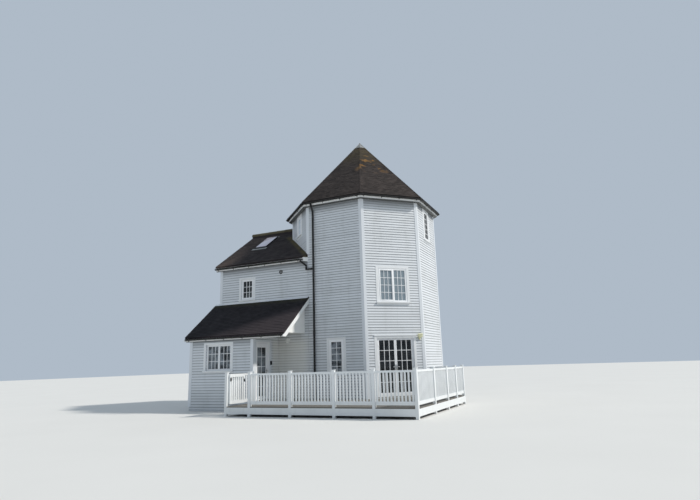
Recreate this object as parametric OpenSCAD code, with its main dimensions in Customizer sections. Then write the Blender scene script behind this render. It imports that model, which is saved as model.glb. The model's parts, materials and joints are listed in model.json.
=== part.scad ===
// Weatherboarded oast house: an octagonal tower with a tiled pyramid roof, a gabled wing on its left,
// a lean-to with an open porch across the wing's front, and a fenced deck along the sunny side.
// The origin is on the tower's axis at ground level. +X runs along the front wall, -Y faces the front.
// All lengths are in millimetres.

/* [Tower] */
// Width of the octagonal tower across its flat sides, outside the weatherboards
tower_w = 5800; // [5400:50:6200]
// Height of the underside of the tower's boxed eaves
tower_soffit_z = 7815; // [7780:5:7900]
// Pitch of the tower roof
tower_pitch = 48; // [44:1:52]
// How far the tower's fascia stands out from the weatherboards
tower_eaves_out = 164; // [150:2:200]
// Half width of the lead cap on top of the tower roof
cap_half_w = 290; // [180:10:340]

/* [Floors] */
// Height of the ground floor above the ground
floor_z = 360; // [330:10:400]
// Height from one floor to the next
storey_h = 2660; // [2640:5:2680]
// Thickness of the upper floors
floor_t = 240; // [180:10:300]

/* [Walls] */
// Thickness of the tower's and the wing's walls without their weatherboards
wall_t = 250; // [200:10:300]
// Thickness of the lean-to's walls without their weatherboards
lean_wall_t = 160; // [140:10:180]
// Thickness of the weatherboards that cover every outer wall
board_t = 20; // [12:1:28]
// Width of the white boards on corners and round windows
trim_w = 100; // [80:5:110]
// Thickness of those boards
trim_t = 30; // [28:1:40]

/* [Wing] */
// Outside of the wing's gable wall, to the left of the tower's axis
wing_left = 5480; // [5000:20:5800]
// How far the wing's back wall stands in from the tower's back
wing_back_step = 640; // [500:20:800]
// Height of the wing's ridge
wing_ridge_z = 7621; // [7500:1:7700]
// Pitch of the wing's roof
wing_pitch = 34.1; // [33:0.1:35]
// How far the wing's tiles run past the gable wall
wing_verge_out = 170; // [120:10:240]

/* [Lean-to] */
// How far the lean-to's front wall stands in front of the wing
lean_depth = 1720; // [1620:10:1800]
// Height of the lean-to's roof where it meets the wing
lean_top_z = 4151; // [4060:1:4160]
// Pitch of the lean-to's roof
lean_pitch = 38.3; // [37.5:0.1:39]
// Outside of the lean-to's right wall, which holds the front door, to the left of the tower's axis
lean_right = 2530; // [2400:10:2600]
// How far the lean-to's tiles run past its left wall
lean_verge_out = 205; // [150:5:260]
// Where the porch roof ends on the right, to the left of the tower's axis
porch_right = 1150; // [1000:10:1200]
// How far the porch's right cheek stands in under the end of its roof
cheek_in = 200; // [150:5:240]
// Height of the porch ceiling
porch_ceiling_z = 2750; // [2700:10:2760]

/* [Roofs] */
// Thickness of the layer of tiles
tile_t = 40; // [30:1:50]
// Depth of the rafters and boarding under the tiles
rafter_t = 100; // [80:5:110]
// Thickness of fascias, soffits and bargeboards
fascia_t = 20; // [16:1:25]
// Radius of the half-round gutters
gutter_r = 56; // [50:1:60]
// Wall of the gutters and of the downpipe
gutter_t = 4; // [3:0.5:5]
// Outer radius of the downpipe
pipe_r = 38; // [32:1:42]
// Distance of the downpipe from the tower's axis, to the left
pipe_x = 900; // [880:5:1000]

/* [Windows] */
// Face width of window and door frames
frame_w = 60; // [50:1:66]
// Depth of window frames
frame_d = 70; // [60:1:90]
// How far the wing's window frames are set back from the wall face
frame_back = 15; // [10:1:30]
// How far the tower's window frames stand out from the wall face
tower_frame_out = 15; // [0:1:20]
// How far the lean-to's window frame is set back from the wall face
lean_frame_back = 40; // [20:1:50]
// How far the wide window's mullion stands to the right of its middle
mullion_shift = 30; // [0:1:40]
// How far the sills stand out in front of the boards round the windows
sill_out = 55; // [40:1:60]
// Thickness of the sealed glass units
glass_t = 24; // [18:1:28]
// Height of every ground-floor and door head
head_z = 2460; // [2440:5:2480]
// Height of the heads of the top-storey windows
top_head_z = 7725; // [7700:5:7725]
// Width of the narrow tower windows
narrow_w = 600; // [560:10:640]
// Width of the wide tower window
wide_w = 1184; // [1100:4:1240]
// Sill height of the wide first-floor window
wide_sill_z = 3793; // [3760:1:3850]
// Head height of the wide first-floor window
wide_head_z = 5087; // [5040:1:5110]
// Sill height of the narrow ground-floor window
ground_sill_z = 1170; // [1140:10:1220]
// Sill height of the top window above the wing's roof
top_sill_high_z = 6895; // [6860:5:6950]
// Sill height of the other top windows
top_sill_low_z = 6470; // [6420:10:6520]
// Width of the wing's small window
small_w = 610; // [560:10:640]
// Sill height of the wing's small window
small_sill_z = 4270; // [4270:5:4300]
// Head height of the wing's small window
small_head_z = 5130; // [5080:5:5150]
// Distance of the wing's small window from the tower's axis, to the left
small_x = 4087; // [4000:1:4200]
// Width of the lean-to's window
lean_win_w = 1170; // [1100:10:1200]
// Sill height of the lean-to's window
lean_sill_z = 1447; // [1400:1:1480]
// Head height of the lean-to's window
lean_head_z = 2413; // [2380:1:2420]
// Distance of the lean-to's window from the tower's axis, to the left
lean_win_x = 4117; // [4080:1:4180]

/* [Doors] */
// Width of the front door with its frame
front_door_w = 900; // [880:5:920]
// Width of the French doors with their frame
french_w = 1500; // [1440:10:1560]
// Face width of the door frames
door_frame_w = 45; // [40:1:55]
// Depth of the door frames
door_frame_d = 100; // [90:1:120]
// How far the front door's face is set back from the wall face
front_door_back = 40; // [30:1:50]
// Height of the thresholds above the floor
threshold_h = 30; // [20:1:40]
// Thickness of the door leaves
leaf_t = 48; // [44:1:54]
// Width of the front door's stiles
front_stile = 118; // [100:1:130]
// Height of the front door's top rail
front_top_rail = 145; // [120:1:160]
// Height of the French doors' top rails
french_top_rail = 30; // [28:1:60]
// Width of the French doors' stiles
french_stile = 42; // [42:1:60]
// Height of the bottom rails of all doors
bottom_rail = 90; // [80:1:120]
// Gap round each door leaf
leaf_gap = 6; // [6:0.5:8]

/* [Deck and fence] */
// Height of the deck above the ground
deck_z = 310; // [280:5:330]
// Thickness of the deck boards
deck_t = 30; // [24:1:40]
// Height of the open gap below the deck's skirt board
skirt_gap = 75; // [50:5:100]
// Distance of the front fence line in front of the tower's axis
fence_y = 6200; // [6000:20:6400]
// Distance of the right fence line from the tower's axis
fence_right_x = 4140; // [4000:20:4300]
// Distance of the back fence line in front of the tower's axis
fence_back_y = 700; // [600:20:800]
// Distance of the gateway's left post from the tower's axis, to the left
gate_post_x = 2450; // [2440:2:2460]
// Distance of the gateway's right post from the tower's axis, to the left
latch_post_x = 1520; // [1500:2:1540]
// Side of the square fence posts
post_w = 94; // [85:1:100]
// Height of the fence posts' tops
post_top_z = 1380; // [1370:5:1420]
// Height of the top of the handrail
rail_top_z = 1340; // [1300:5:1350]
// Height of the handrail
rail_h = 60; // [50:1:70]
// Height of the bottom rail's underside
bottom_rail_z = 376; // [365:1:390]
// Height of the bottom rail
bottom_rail_h = 100; // [80:1:110]
// Thickness of the rails
rail_t = 44; // [38:1:50]
// Spacing of the pickets
picket_pitch = 110; // [100:1:125]
// Width of the pickets
picket_w = 50; // [40:1:60]
// Thickness of the pickets
picket_t = 20; // [16:1:24]

/* [Hinges] */
// Outer radius of the hinge knuckles
knuckle_r = 9; // [8:0.5:10]
// Radius of the hinge pins
pin_r = 5; // [4:0.5:5.5]
// Height of one hinge knuckle
knuckle_h = 36; // [30:1:45]
// Running clearance of a pin in its knuckle
pin_fit = 0.3; // [0.2:0.05:0.4]
// Gap between the gate and its latch post
gate_gap = 10; // [8:0.5:14]

/* [Fittings] */
// Height of the door handles
handle_z = 1400; // [1360:5:1450]
// Length of the lever handles
lever_len = 110; // [90:5:120]
// Height of the gate's latch
latch_z = 1120; // [1000:10:1180]
// Radius of the round wall vent
vent_r = 80; // [70:1:90]
// Distance of the wall vent from the tower's axis, to the left
vent_x = 2435; // [2400:5:2500]
// Height of the wall vent
vent_z = 5274; // [5250:1:5300]
// Radius of the round porch lamp
porch_lamp_r = 100; // [85:1:110]
// Height of the porch lamp
porch_lamp_z = 2515; // [2480:5:2550]
// Distance of the porch lamp from the tower's axis, to the left
porch_lamp_x = 2110; // [2080:5:2140]
// Height of the flood lamp beside the French doors
flood_z = 2530; // [2500:5:2560]
// Distance of the flood lamp's middle from the corner of its wall
flood_in = 183; // [163:2:203]
// Height of the key safe beside the front door
safe_z = 1681; // [1650:1:1720]

/* [Hidden] */
$fn = 48;
// Overrun of cutting shapes past the faces that they cut
e = 1;
// Room that cutting shapes take beyond the whole house
far = 12000;
// Hairline between pieces that bear on each other
seat = 0.2;

tower_a = tower_w / 2 - board_t;
inner_a = tower_a - wall_t;
eighth = 22.5;
front_y = tower_a;
tile_v = tile_t / cos(tower_pitch);
roof_v = (tile_t + rafter_t) / cos(tower_pitch);
fascia_a = tower_w / 2 + tower_eaves_out;
tile_edge_a = fascia_a + gutter_r;
tower_slope = tan(tower_pitch);
gutter_top = 120;
tile_rise = 40;
tower_edge_z = tower_soffit_z + gutter_top + tile_rise;
tower_apex_z = tower_edge_z + tile_edge_a * tower_slope;

first_z = floor_z + storey_h;
second_z = first_z + storey_h;

wing_x = wing_left - board_t;
wing_back = tower_w / 2 - wing_back_step;
wing_y = wing_back - board_t;
wing_ridge_y = -wing_back_step / 2;
wing_slope = tan(wing_pitch);
wing_tile_v = tile_t / cos(wing_pitch);
wing_roof_v = (tile_t + rafter_t) / cos(wing_pitch);
wing_fascia_out = 110;
wing_run = wing_back - wing_ridge_y + wing_fascia_out;
wing_tile_run = wing_run + gutter_r;
wing_edge_z = wing_ridge_z - wing_tile_run * wing_slope;
wing_gutter_z = wing_edge_z - tile_rise - 40;

lean_front = tower_w / 2 + lean_depth;
lean_y = lean_front - board_t;
lean_door_x = lean_right + board_t;
lean_slope = tan(lean_pitch);
lean_tile_v = tile_t / cos(lean_pitch);
lean_roof_v = (tile_t + rafter_t) / cos(lean_pitch);
lean_fascia_y = lean_front + 35;
lean_tile_y = lean_fascia_y + gutter_r;
lean_edge_z = lean_top_z - (lean_tile_y - tower_w / 2) * lean_slope;
lean_gutter_z = lean_edge_z - tile_rise - 18;
opening_head_z = first_z - floor_t - 80;
// Left end of the lean-to's fascia and outer face of its left bargeboard
lean_barge_x = -wing_left - lean_verge_out + 10;
// How far the bargeboards' feet run out past the gutter and below it
barge_foot = 25;
// Depth of the bargeboards, measured plumb
barge_h = 190;
// Width of the beam along the porch's open front
porch_beam = 100;
fascia_drop = 112;

// Height of the wing's roof surface at a distance y behind the tower's axis
function wing_roof_z(y) = wing_ridge_z - abs(y - wing_ridge_y) * wing_slope;
// Height of the lean-to's roof surface at a distance y in front of the tower's axis
function lean_roof_z(y) = lean_top_z - (y - tower_w / 2) * lean_slope;
// Half the length of one octagon side at a given distance of that side from the axis
function half_side(a) = a * tan(eighth);

// Basic shapes

module octagon(a) {
    polygon([for (k = [0:7]) let (g = eighth + 45 * k) a / cos(eighth) * [cos(g), sin(g)]]);
}

module octagon_block(a, z0, z1) {
    translate([0, 0, z0]) linear_extrude(z1 - z0) octagon(a);
}

// An octagonal pyramid as the space that four ridged prisms share
module octagon_pyramid(top_z, base_z, slope) {
    half = (top_z - base_z) / slope;
    intersection_for (k = [0:3])
        rotate([0, 0, 45 * k])
            rotate([90, 0, 0])
                translate([0, 0, -half * 1.2])
                    linear_extrude(half * 2.4)
                        polygon([[-half, base_z], [half, base_z], [0, top_z]]);
}

// Turns what is drawn for the front face of the tower to the face that looks along an angle
module on_face(turn) {
    rotate([0, 0, turn]) children();
}

module box(x0, x1, y0, y1, z0, z1) {
    translate([x0, y0, z0]) cube([x1 - x0, y1 - y0, z1 - z0]);
}

// A profile drawn in the Y-Z plane, drawn out along X
module along_x(x0, x1) {
    translate([x0, 0, 0]) rotate([90, 0, 90]) linear_extrude(x1 - x0) children();
}

module tower_roof_void() {
    octagon_pyramid(tower_apex_z - roof_v - seat, 0, tower_slope);
}

module wing_roof_void() {
    r = wing_ridge_z - wing_roof_v - seat;
    reach = 4000;
    along_x(-far, far)
        polygon([
            [wing_ridge_y - reach, -e], [wing_ridge_y + reach, -e],
            [wing_ridge_y + reach, r - reach * wing_slope], [wing_ridge_y, r],
            [wing_ridge_y - reach, r - reach * wing_slope],
        ]);
}

module lean_roof_void() {
    reach = 3000;
    along_x(-far, far)
        polygon([
            [-front_y, -e], [-front_y - reach, -e],
            [-front_y - reach, lean_roof_z(front_y + reach) - lean_roof_v - seat],
            [-front_y, lean_roof_z(front_y) - lean_roof_v - seat],
        ]);
}

// Tower walls

// One side of the tower between two heights and two places along it, with mitred ends
module tower_panel(u0, u1, z0, z1) {
    outer = half_side(tower_a) - seat;
    inner = half_side(inner_a) - seat;
    intersection() {
        translate([0, 0, z0])
            linear_extrude(z1 - z0)
                intersection() {
                    polygon([[-outer, -tower_a], [outer, -tower_a], [inner, -inner_a], [-inner, -inner_a]]);
                    translate([u0, -tower_a - e]) square([u1 - u0, wall_t + 2 * e]);
                }
        tower_roof_void();
    }
}

module full_panel(z0 = 0) {
    tower_panel(-far / 4, far / 4, z0, tower_apex_z);
}

// The hole for a window in a wall whose outside is at y = -a
module window_hole(u, w, sill, head, a = tower_a) {
    box(u - w / 2, u + w / 2, -a - e, -a + wall_t + e, sill, head);
}

module tower_wall_front() {
    color("gainsboro") difference() {
        full_panel();
        window_hole(0, narrow_w, ground_sill_z, head_z);
    }
}

module tower_wall_door_left() {
    color("whitesmoke") on_face(45) tower_panel(-far / 4, -french_w / 2, 0, head_z);
}

module tower_wall_door_right() {
    color("whitesmoke") on_face(45) tower_panel(french_w / 2, far / 4, 0, head_z);
}

module tower_wall_door_over() {
    color("whitesmoke") on_face(45) difference() {
        full_panel(head_z);
        window_hole(0, wide_w, wide_sill_z, wide_head_z);
    }
}

module tower_wall_right() {
    color("white") on_face(90) difference() {
        full_panel();
        window_hole(0, narrow_w, top_sill_low_z, top_head_z);
    }
}

module tower_wall_back_right() {
    color("white") on_face(135) difference() {
        full_panel();
        window_hole(0, wide_w, wide_sill_z, wide_head_z);
    }
}

module tower_wall_back() {
    color("white") on_face(180) difference() {
        full_panel();
        window_hole(0, narrow_w, ground_sill_z, head_z);
        window_hole(0, narrow_w, top_sill_low_z, top_head_z);
    }
}

module tower_wall_back_left() {
    color("white") on_face(225) difference() {
        full_panel();
        window_hole(0, narrow_w, top_sill_high_z, top_head_z);
    }
}

// The side inside the wing starts above the wing's upper room, which is open to the tower
module tower_wall_left() {
    color("white") on_face(270) full_panel(second_z - floor_t);
}

module tower_wall_front_left() {
    color("gainsboro") on_face(315) difference() {
        full_panel();
        window_hole(0, narrow_w, top_sill_high_z, top_head_z);
    }
}

// Wing walls

module tower_body() {
    octagon_block(tower_a, -e, far);
}

module wing_wall_front() {
    color("gainsboro") difference() {
        intersection() {
            box(-wing_x + wall_t, 0, -front_y, -front_y + wall_t, opening_head_z, far);
            wing_roof_void();
        }
        window_hole(-small_x, small_w, small_sill_z, small_head_z);
        tower_body();
    }
}

// The ground-floor wall behind the porch; the lean-to's room is open to the wing
module porch_wall() {
    color("gainsboro") difference() {
        box(-lean_door_x - lean_wall_t, 0, -front_y, -front_y + wall_t, 0, opening_head_z);
        tower_body();
    }
}

module wing_wall_gable() {
    color("white") difference() {
        intersection() {
            box(-wing_x, -wing_x + wall_t, -front_y, wing_y, 0, far);
            wing_roof_void();
        }
        translate([0, wing_ridge_y, 0])
            rotate([0, 0, -90])
                window_hole(0, small_w, small_sill_z, small_head_z, wing_x);
    }
}

module wing_wall_back() {
    color("white") difference() {
        intersection() {
            box(-wing_x + wall_t, 0, wing_y - wall_t, wing_y, 0, far);
            wing_roof_void();
        }
        rotate([0, 0, 180]) {
            window_hole(small_x, small_w, small_sill_z, small_head_z, wing_y);
            window_hole(lean_win_x, lean_win_w, lean_sill_z, lean_head_z, wing_y);
        }
        tower_body();
    }
}

// Lean-to walls

module lean_to_wall_front() {
    color("gainsboro") difference() {
        intersection() {
            box(-wing_x, -lean_door_x, -lean_y, -lean_y + lean_wall_t, 0, far);
            lean_roof_void();
        }
        window_hole(-lean_win_x, lean_win_w, lean_sill_z, lean_head_z, lean_y);
    }
}

module lean_to_wall_left() {
    color("white") intersection() {
        box(-wing_x, -wing_x + lean_wall_t, -lean_y + lean_wall_t, -front_y, 0, far);
        lean_roof_void();
    }
}

// The front door stands against the front wall's inner face
door_y0 = -lean_y + lean_wall_t;
door_mid_y = door_y0 + front_door_w / 2;
door_y1 = door_y0 + front_door_w;

module lean_to_wall_right() {
    color("whitesmoke") intersection() {
        box(-lean_door_x - lean_wall_t, -lean_door_x, door_y1, -front_y, 0, far);
        lean_roof_void();
    }
}

module lean_to_wall_door_over() {
    color("whitesmoke") intersection() {
        box(-lean_door_x - lean_wall_t, -lean_door_x, door_y0, door_y1, head_z, far);
        lean_roof_void();
    }
}

// Floors

module wing_plan() {
    difference() {
        translate([-wing_x + wall_t, -front_y + wall_t])
            square([wing_x, wing_y + front_y - 2 * wall_t]);
        octagon(tower_a);
    }
}

// The strip of floor that crosses the open side between tower and wing
module crossing_plan() {
    polygon([
        [-tower_a - e, -half_side(inner_a)], [-inner_a + e, -half_side(inner_a)],
        [-inner_a + e, half_side(inner_a)], [-tower_a - e, half_side(inner_a)],
    ]);
}

module ground_slab() {
    color("darkgray") linear_extrude(floor_z) {
        octagon(inner_a);
        wing_plan();
        crossing_plan();
        translate([-wing_x + wall_t, -front_y - e])
            square([wing_x - wall_t - lean_door_x - lean_wall_t, wall_t + 2 * e]);
        translate([-wing_x + lean_wall_t, -lean_y + lean_wall_t])
            square([wing_x - 2 * lean_wall_t - lean_door_x, lean_y - lean_wall_t - front_y]);
        translate([-lean_door_x - lean_wall_t - e, door_y0])
            square([lean_wall_t + e, front_door_w]);
        rotate([0, 0, 45])
            translate([-french_w / 2, -tower_a])
                square([french_w, wall_t + 40]);
    }
}

module tower_floor_first() {
    color("tan") octagon_block(inner_a, first_z - floor_t, first_z);
}

module tower_floor_second() {
    color("tan") octagon_block(inner_a, second_z - floor_t, second_z);
}

module wing_floor_first() {
    color("tan") translate([0, 0, first_z - floor_t]) linear_extrude(floor_t) {
        wing_plan();
        difference() {
            crossing_plan();
            octagon(inner_a);
        }
    }
}

// Tower roof

// Hairline mitres that part the eight sides at the octagon's corners
module mitres() {
    for (k = [0:7])
        rotate([0, 0, eighth + 45 * k])
            translate([0, -seat, 0]) cube([far, 2 * seat, far + e]);
}

// Eight sides that meet at the hips, each with its tiles and its rafters
module tower_roof() {
    color("#3b3633") difference() {
        union() {
            difference() {
                octagon_pyramid(tower_apex_z, tower_edge_z - tile_v, tower_slope);
                octagon_pyramid(tower_apex_z - tile_v, tower_edge_z - 3 * tile_v, tower_slope);
            }
            intersection() {
                octagon_pyramid(tower_apex_z - tile_v, tower_soffit_z + fascia_t, tower_slope);
                octagon_block(fascia_a - fascia_t, tower_soffit_z + fascia_t, tower_apex_z);
            }
        }
        octagon_pyramid(tower_apex_z - roof_v, 0, tower_slope);
        difference() {
            octagon_block(tile_edge_a + 3 * tile_t, tower_edge_z - 2 * tile_v, tower_edge_z);
            octagon_block(tile_edge_a, 0, far);
        }
        mitres();
    }
}

// Thickness of the lead sheet over the tiles, measured square to them
lead_t = 28;

module tower_cap() {
    lead_v = lead_t / cos(tower_pitch);
    color("lightsteelblue") difference() {
        octagon_pyramid(tower_apex_z + lead_v, tower_apex_z - cap_half_w * 1.5, tower_slope);
        octagon_pyramid(tower_apex_z + seat, tower_apex_z - cap_half_w * 2, tower_slope);
        difference() {
            octagon_block(cap_half_w * 3, tower_apex_z - cap_half_w * 2, tower_apex_z);
            octagon_block(cap_half_w, 0, far);
        }
    }
}

// How far the soffit's underside lies below the fascia's rebate
soffit_rebate = 10;

module tower_eaves() {
    color("white") difference() {
        octagon_block(fascia_a, tower_soffit_z - soffit_rebate, tower_edge_z - tile_rise / 2);
        octagon_block(fascia_a - fascia_t, tower_soffit_z + fascia_t, far);
        octagon_block(fascia_a - 2 * fascia_t, 0, tower_soffit_z);
        octagon_block(tower_a, 0, far);
        difference() {
            octagon_block(fascia_a + e, tower_soffit_z, far);
            octagon_pyramid(tower_apex_z - tile_v - seat, 0, tower_slope);
        }
        mitres();
    }
}

// The section of a half-round gutter with its lip at the origin's height
module gutter_section() {
    difference() {
        circle(r = gutter_r);
        circle(r = gutter_r - gutter_t);
        translate([-2 * gutter_r, 0]) square(4 * gutter_r);
    }
}

// Expansion gap between the tower gutter's lengths, measured out from the axis
gutter_joint = 4;

module tower_gutter() {
    a = fascia_a + gutter_r;
    reach = half_side(a + gutter_r) + e;
    color("#1c1c1e") union() for (k = [0:7])
        rotate([0, 0, 45 * k])
            intersection() {
                translate([-reach, -a, tower_soffit_z + gutter_top])
                    rotate([90, 0, 90])
                        linear_extrude(2 * reach)
                            gutter_section();
                translate([0, -gutter_joint, 0]) linear_extrude(far)
                    polygon([[0, 0], [-half_side(far), -far], [half_side(far), -far]]);
            }
}

module pipe_run(h) {
    difference() {
        cylinder(r = pipe_r, h = h);
        translate([0, 0, -e]) cylinder(r = pipe_r - gutter_t, h = h + 2 * e);
    }
}

// Clearance between the downpipe and the weatherboards
pipe_off = 25;
pipe_y = -tower_w / 2 - pipe_off - pipe_r;
// Clearance between the downpipe and the hole in the deck
pipe_clear = 8;
clip_h = 30;
clip_count = 6;
clip_top_z = 7260;
clip_pitch = 1150;
elbow_t = 5;
neck_h = 60;
// How far the downpipe's upper bend lies below the tower's soffit
pipe_bend_drop = 240;

module downpipe() {
    y = pipe_y;
    top = tower_soffit_z - pipe_bend_drop;
    bottom = 40;
    out_y = -fascia_a - gutter_r;
    out_z = tower_soffit_z + gutter_top - gutter_r;
    lean = atan2(y - out_y, out_z - neck_h - top);
    run = norm([y - out_y, out_z - neck_h - top]);
    color("#1c1c1e") difference() {
        union() {
            translate([-pipe_x, y, bottom]) cylinder(r = pipe_r, h = top - bottom);
            translate([-pipe_x, y, top]) sphere(r = pipe_r + elbow_t);
            translate([-pipe_x, y, top]) rotate([lean, 0, 0]) cylinder(r = pipe_r, h = run);
            translate([-pipe_x, out_y, out_z - neck_h]) sphere(r = pipe_r + elbow_t);
            translate([-pipe_x, out_y, out_z - neck_h]) cylinder(r = pipe_r, h = neck_h - pin_fit);
            translate([-pipe_x, y, branch_z]) rotate([0, -90, 0])
                cylinder(r = outlet_r + elbow_t, h = pipe_r + branch_len);
            for (k = [0:clip_count - 1])
                translate([-pipe_x, y, clip_top_z - k * clip_pitch]) {
                    cylinder(r = pipe_r + 5, h = clip_h);
                    translate([-pipe_r / 2, 0, 0]) cube([pipe_r, -y - tower_a, clip_h]);
                }
        }
        translate([-pipe_x, y, bottom - e]) cylinder(r = pipe_r - gutter_t, h = 200);
    }
}

// Wing roof

// One side of the wing's roof in section: tiles above, rafters below that stop at the fascia
module wing_tiles_section() {
    polygon([
        [0, wing_ridge_z], [wing_tile_run, wing_edge_z],
        [wing_tile_run, wing_edge_z - wing_tile_v], [0, wing_ridge_z - wing_tile_v],
    ]);
}

module wing_rafter_section() {
    r = wing_run - fascia_t;
    polygon([
        [0, wing_ridge_z - wing_tile_v + e], [r, wing_ridge_z - wing_tile_v + e - r * wing_slope],
        [r, wing_ridge_z - wing_roof_v - r * wing_slope], [0, wing_ridge_z - wing_roof_v],
    ]);
}

// The front eaves turn back at half a right angle to the corner where wing and tower meet
module eaves_corner(shift = 0) {
    c = half_side(tower_a) + shift;
    reach = tower_w / 2;
    linear_extrude(far)
        polygon([[-c, -tower_a], [-c - reach, -tower_a - reach], [reach, -tower_a - reach],
                 [reach, -tower_a]]);
}

module wing_tiles() {
    along_x(-wing_left - wing_verge_out, 0) wing_tiles_section();
}

module wing_rafters() {
    along_x(-wing_left - wing_verge_out + fascia_t + 10, 0) wing_rafter_section();
}

module wing_roof_front() {
    color("#3b3633") difference() {
        translate([0, wing_ridge_y, 0]) mirror([0, 1, 0]) {
            difference() {
                wing_tiles();
                mirror([0, 1, 0]) translate([0, -wing_ridge_y, 0]) eaves_corner();
            }
            difference() {
                wing_rafters();
                mirror([0, 1, 0]) translate([0, -wing_ridge_y, 0]) eaves_corner(return_w);
            }
        }
        tower_body();
        skylight_hole();
    }
}

module wing_roof_back() {
    color("#3b3633") difference() {
        translate([0, wing_ridge_y, 0]) {
            wing_tiles();
            wing_rafters();
        }
        tower_body();
    }
}

// Outer radius of the half-round ridge tiles
ridge_r = 110;

module wing_ridge() {
    color("#3b3633") difference() {
        translate([-wing_left - wing_verge_out, wing_ridge_y, wing_ridge_z - ridge_r * 0.45])
            rotate([0, 90, 0])
                cylinder(r = ridge_r, h = wing_left + wing_verge_out);
        translate([0, 0, wing_roof_v + 2 * seat]) wing_roof_void();
        tower_body();
    }
}

// Fascia and soffit of one side of the wing, in section, measured out from the ridge line
module wing_eaves_section() {
    r = wing_run;
    z = wing_gutter_z - fascia_drop;
    wall = wing_back - board_t - wing_ridge_y;
    translate([r - fascia_t, z])
        square([fascia_t, wing_ridge_z - wing_tile_v - r * wing_slope - seat - z]);
    translate([wall, z + 10]) square([r - wall, fascia_t]);
}

module bargeboard_section() {
    r = wing_run;
    top = wing_ridge_z - wing_tile_v - seat;
    polygon([
        [0, top], [r, top - r * wing_slope], [r, wing_gutter_z - fascia_drop],
        [r - 90, wing_gutter_z - fascia_drop], [0, top - barge_h],
    ]);
}

module wing_eaves() {
    x0 = -wing_left - wing_verge_out + 10;
    color("white") {
        difference() {
            translate([0, wing_ridge_y, 0]) for (side = [0, 1]) mirror([0, side, 0]) {
                along_x(x0, 0) wing_eaves_section();
                along_x(x0, x0 + fascia_t) bargeboard_section();
            }
            tower_body();
            eaves_corner();
        }
        front_return();
    }
}

// Width along the wall of the short fascia that runs back to the tower's corner
return_w = fascia_t * sqrt(2);

module front_return() {
    c = half_side(tower_a);
    d = tower_w / 2 + wing_fascia_out - tower_a;
    z = wing_gutter_z - fascia_drop;
    translate([0, 0, z])
        linear_extrude(wing_ridge_z - wing_tile_v - wing_run * wing_slope - z)
            polygon([
                [-c, -tower_a], [-c - d, -tower_a - d],
                [-c - d - return_w, -tower_a - d], [-c - return_w, -tower_a],
            ]);
}

// The wing's gutter empties through a bent pipe that runs into a branch of the downpipe
outlet_x = 1420;
outlet_neck_x = 1220;
outlet_neck_drop = 282;
branch_drop = 432;
branch_len = 30;
outlet_r = 28;
branch_z = wing_gutter_z - branch_drop;

module outlet() {
    y = wing_ridge_y - wing_run - gutter_r;
    mouth = wing_gutter_z - gutter_r + gutter_t / 2;
    knee = [-outlet_x, y, mouth - outlet_r];
    neck = [-outlet_neck_x, pipe_y, wing_gutter_z - outlet_neck_drop];
    bend = [-outlet_neck_x, pipe_y, branch_z];
    last = [-pipe_x - pipe_r - branch_len - seat, pipe_y, branch_z];
    pipe_between([knee[0], knee[1], mouth], knee);
    pipe_between(knee, neck);
    pipe_between(neck, bend);
    pipe_between(bend, last);
    for (p = [knee, neck, bend]) translate(p) sphere(r = outlet_r + elbow_t);
}

// A straight round pipe from one point to another
module pipe_between(a, b) {
    d = b - a;
    translate(a)
        rotate([0, acos(d[2] / norm(d)), atan2(d[1], d[0])])
            cylinder(r = outlet_r, h = norm(d));
}

module wing_gutter() {
    r = wing_run + gutter_r;
    c = half_side(tower_w / 2);
    color("#1c1c1e") {
        outlet();
        difference() {
            translate([0, wing_ridge_y, wing_gutter_z]) for (side = [0, 1]) mirror([0, side, 0])
                along_x(-wing_left - wing_verge_out, 0)
                    translate([r, 0]) gutter_section();
            tower_body();
            eaves_corner();
        }
    }
}

// Skylight

skylight_x = 4320;
skylight_w = 500;
skylight_top_y = 700;
skylight_low_y = 1640;
skylight_up = 55;
// Width of its frame, how far the roof's opening lies inside the frame, and the pane's two faces
skylight_bar = 60;
skylight_lap = 40;
pane_low = 10;
pane_high = 34;

module skylight_hole() {
    half = skylight_w / 2 - skylight_lap;
    box(-skylight_x - half, -skylight_x + half,
        -skylight_low_y + skylight_lap, -skylight_top_y - skylight_lap, 0, far);
}

module skylight_band(inset, low, high) {
    along_x(-skylight_x - skylight_w / 2 + inset, -skylight_x + skylight_w / 2 - inset)
        polygon([
            [-skylight_low_y + inset, wing_roof_z(-skylight_low_y + inset) + low],
            [-skylight_top_y - inset, wing_roof_z(-skylight_top_y - inset) + low],
            [-skylight_top_y - inset, wing_roof_z(-skylight_top_y - inset) + high],
            [-skylight_low_y + inset, wing_roof_z(-skylight_low_y + inset) + high],
        ]);
}

module skylight() {
    color("dimgray") {
        difference() {
            skylight_band(0, seat, skylight_up);
            skylight_band(skylight_bar, -e, skylight_up + e);
        }
        skylight_band(skylight_bar, pane_low, pane_high);
    }
}

// Lean-to roof and porch

module lean_to_roof() {
    inner = lean_fascia_y - fascia_t - seat;
    color("#3b3633") {
        along_x(-wing_left - lean_verge_out, -porch_right)
            polygon([
                [-front_y - seat, lean_roof_z(front_y)], [-lean_tile_y, lean_edge_z],
                [-lean_tile_y, lean_edge_z - lean_tile_v], [-front_y - seat, lean_roof_z(front_y) - lean_tile_v],
            ]);
        along_x(lean_barge_x + fascia_t + seat, -porch_right - fascia_t - seat)
            polygon([
                [-front_y - seat, lean_roof_z(front_y) - lean_tile_v + e],
                [-inner, lean_roof_z(inner) - lean_tile_v + e], [-inner, lean_roof_z(inner) - lean_roof_v],
                [-front_y - seat, lean_roof_z(front_y) - lean_roof_v],
            ]);
    }
}

// Underside of the lean-to's tiles at a distance y in front of the tower's axis
function lean_under_z(y) = lean_roof_z(y) - lean_tile_v - seat;

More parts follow.
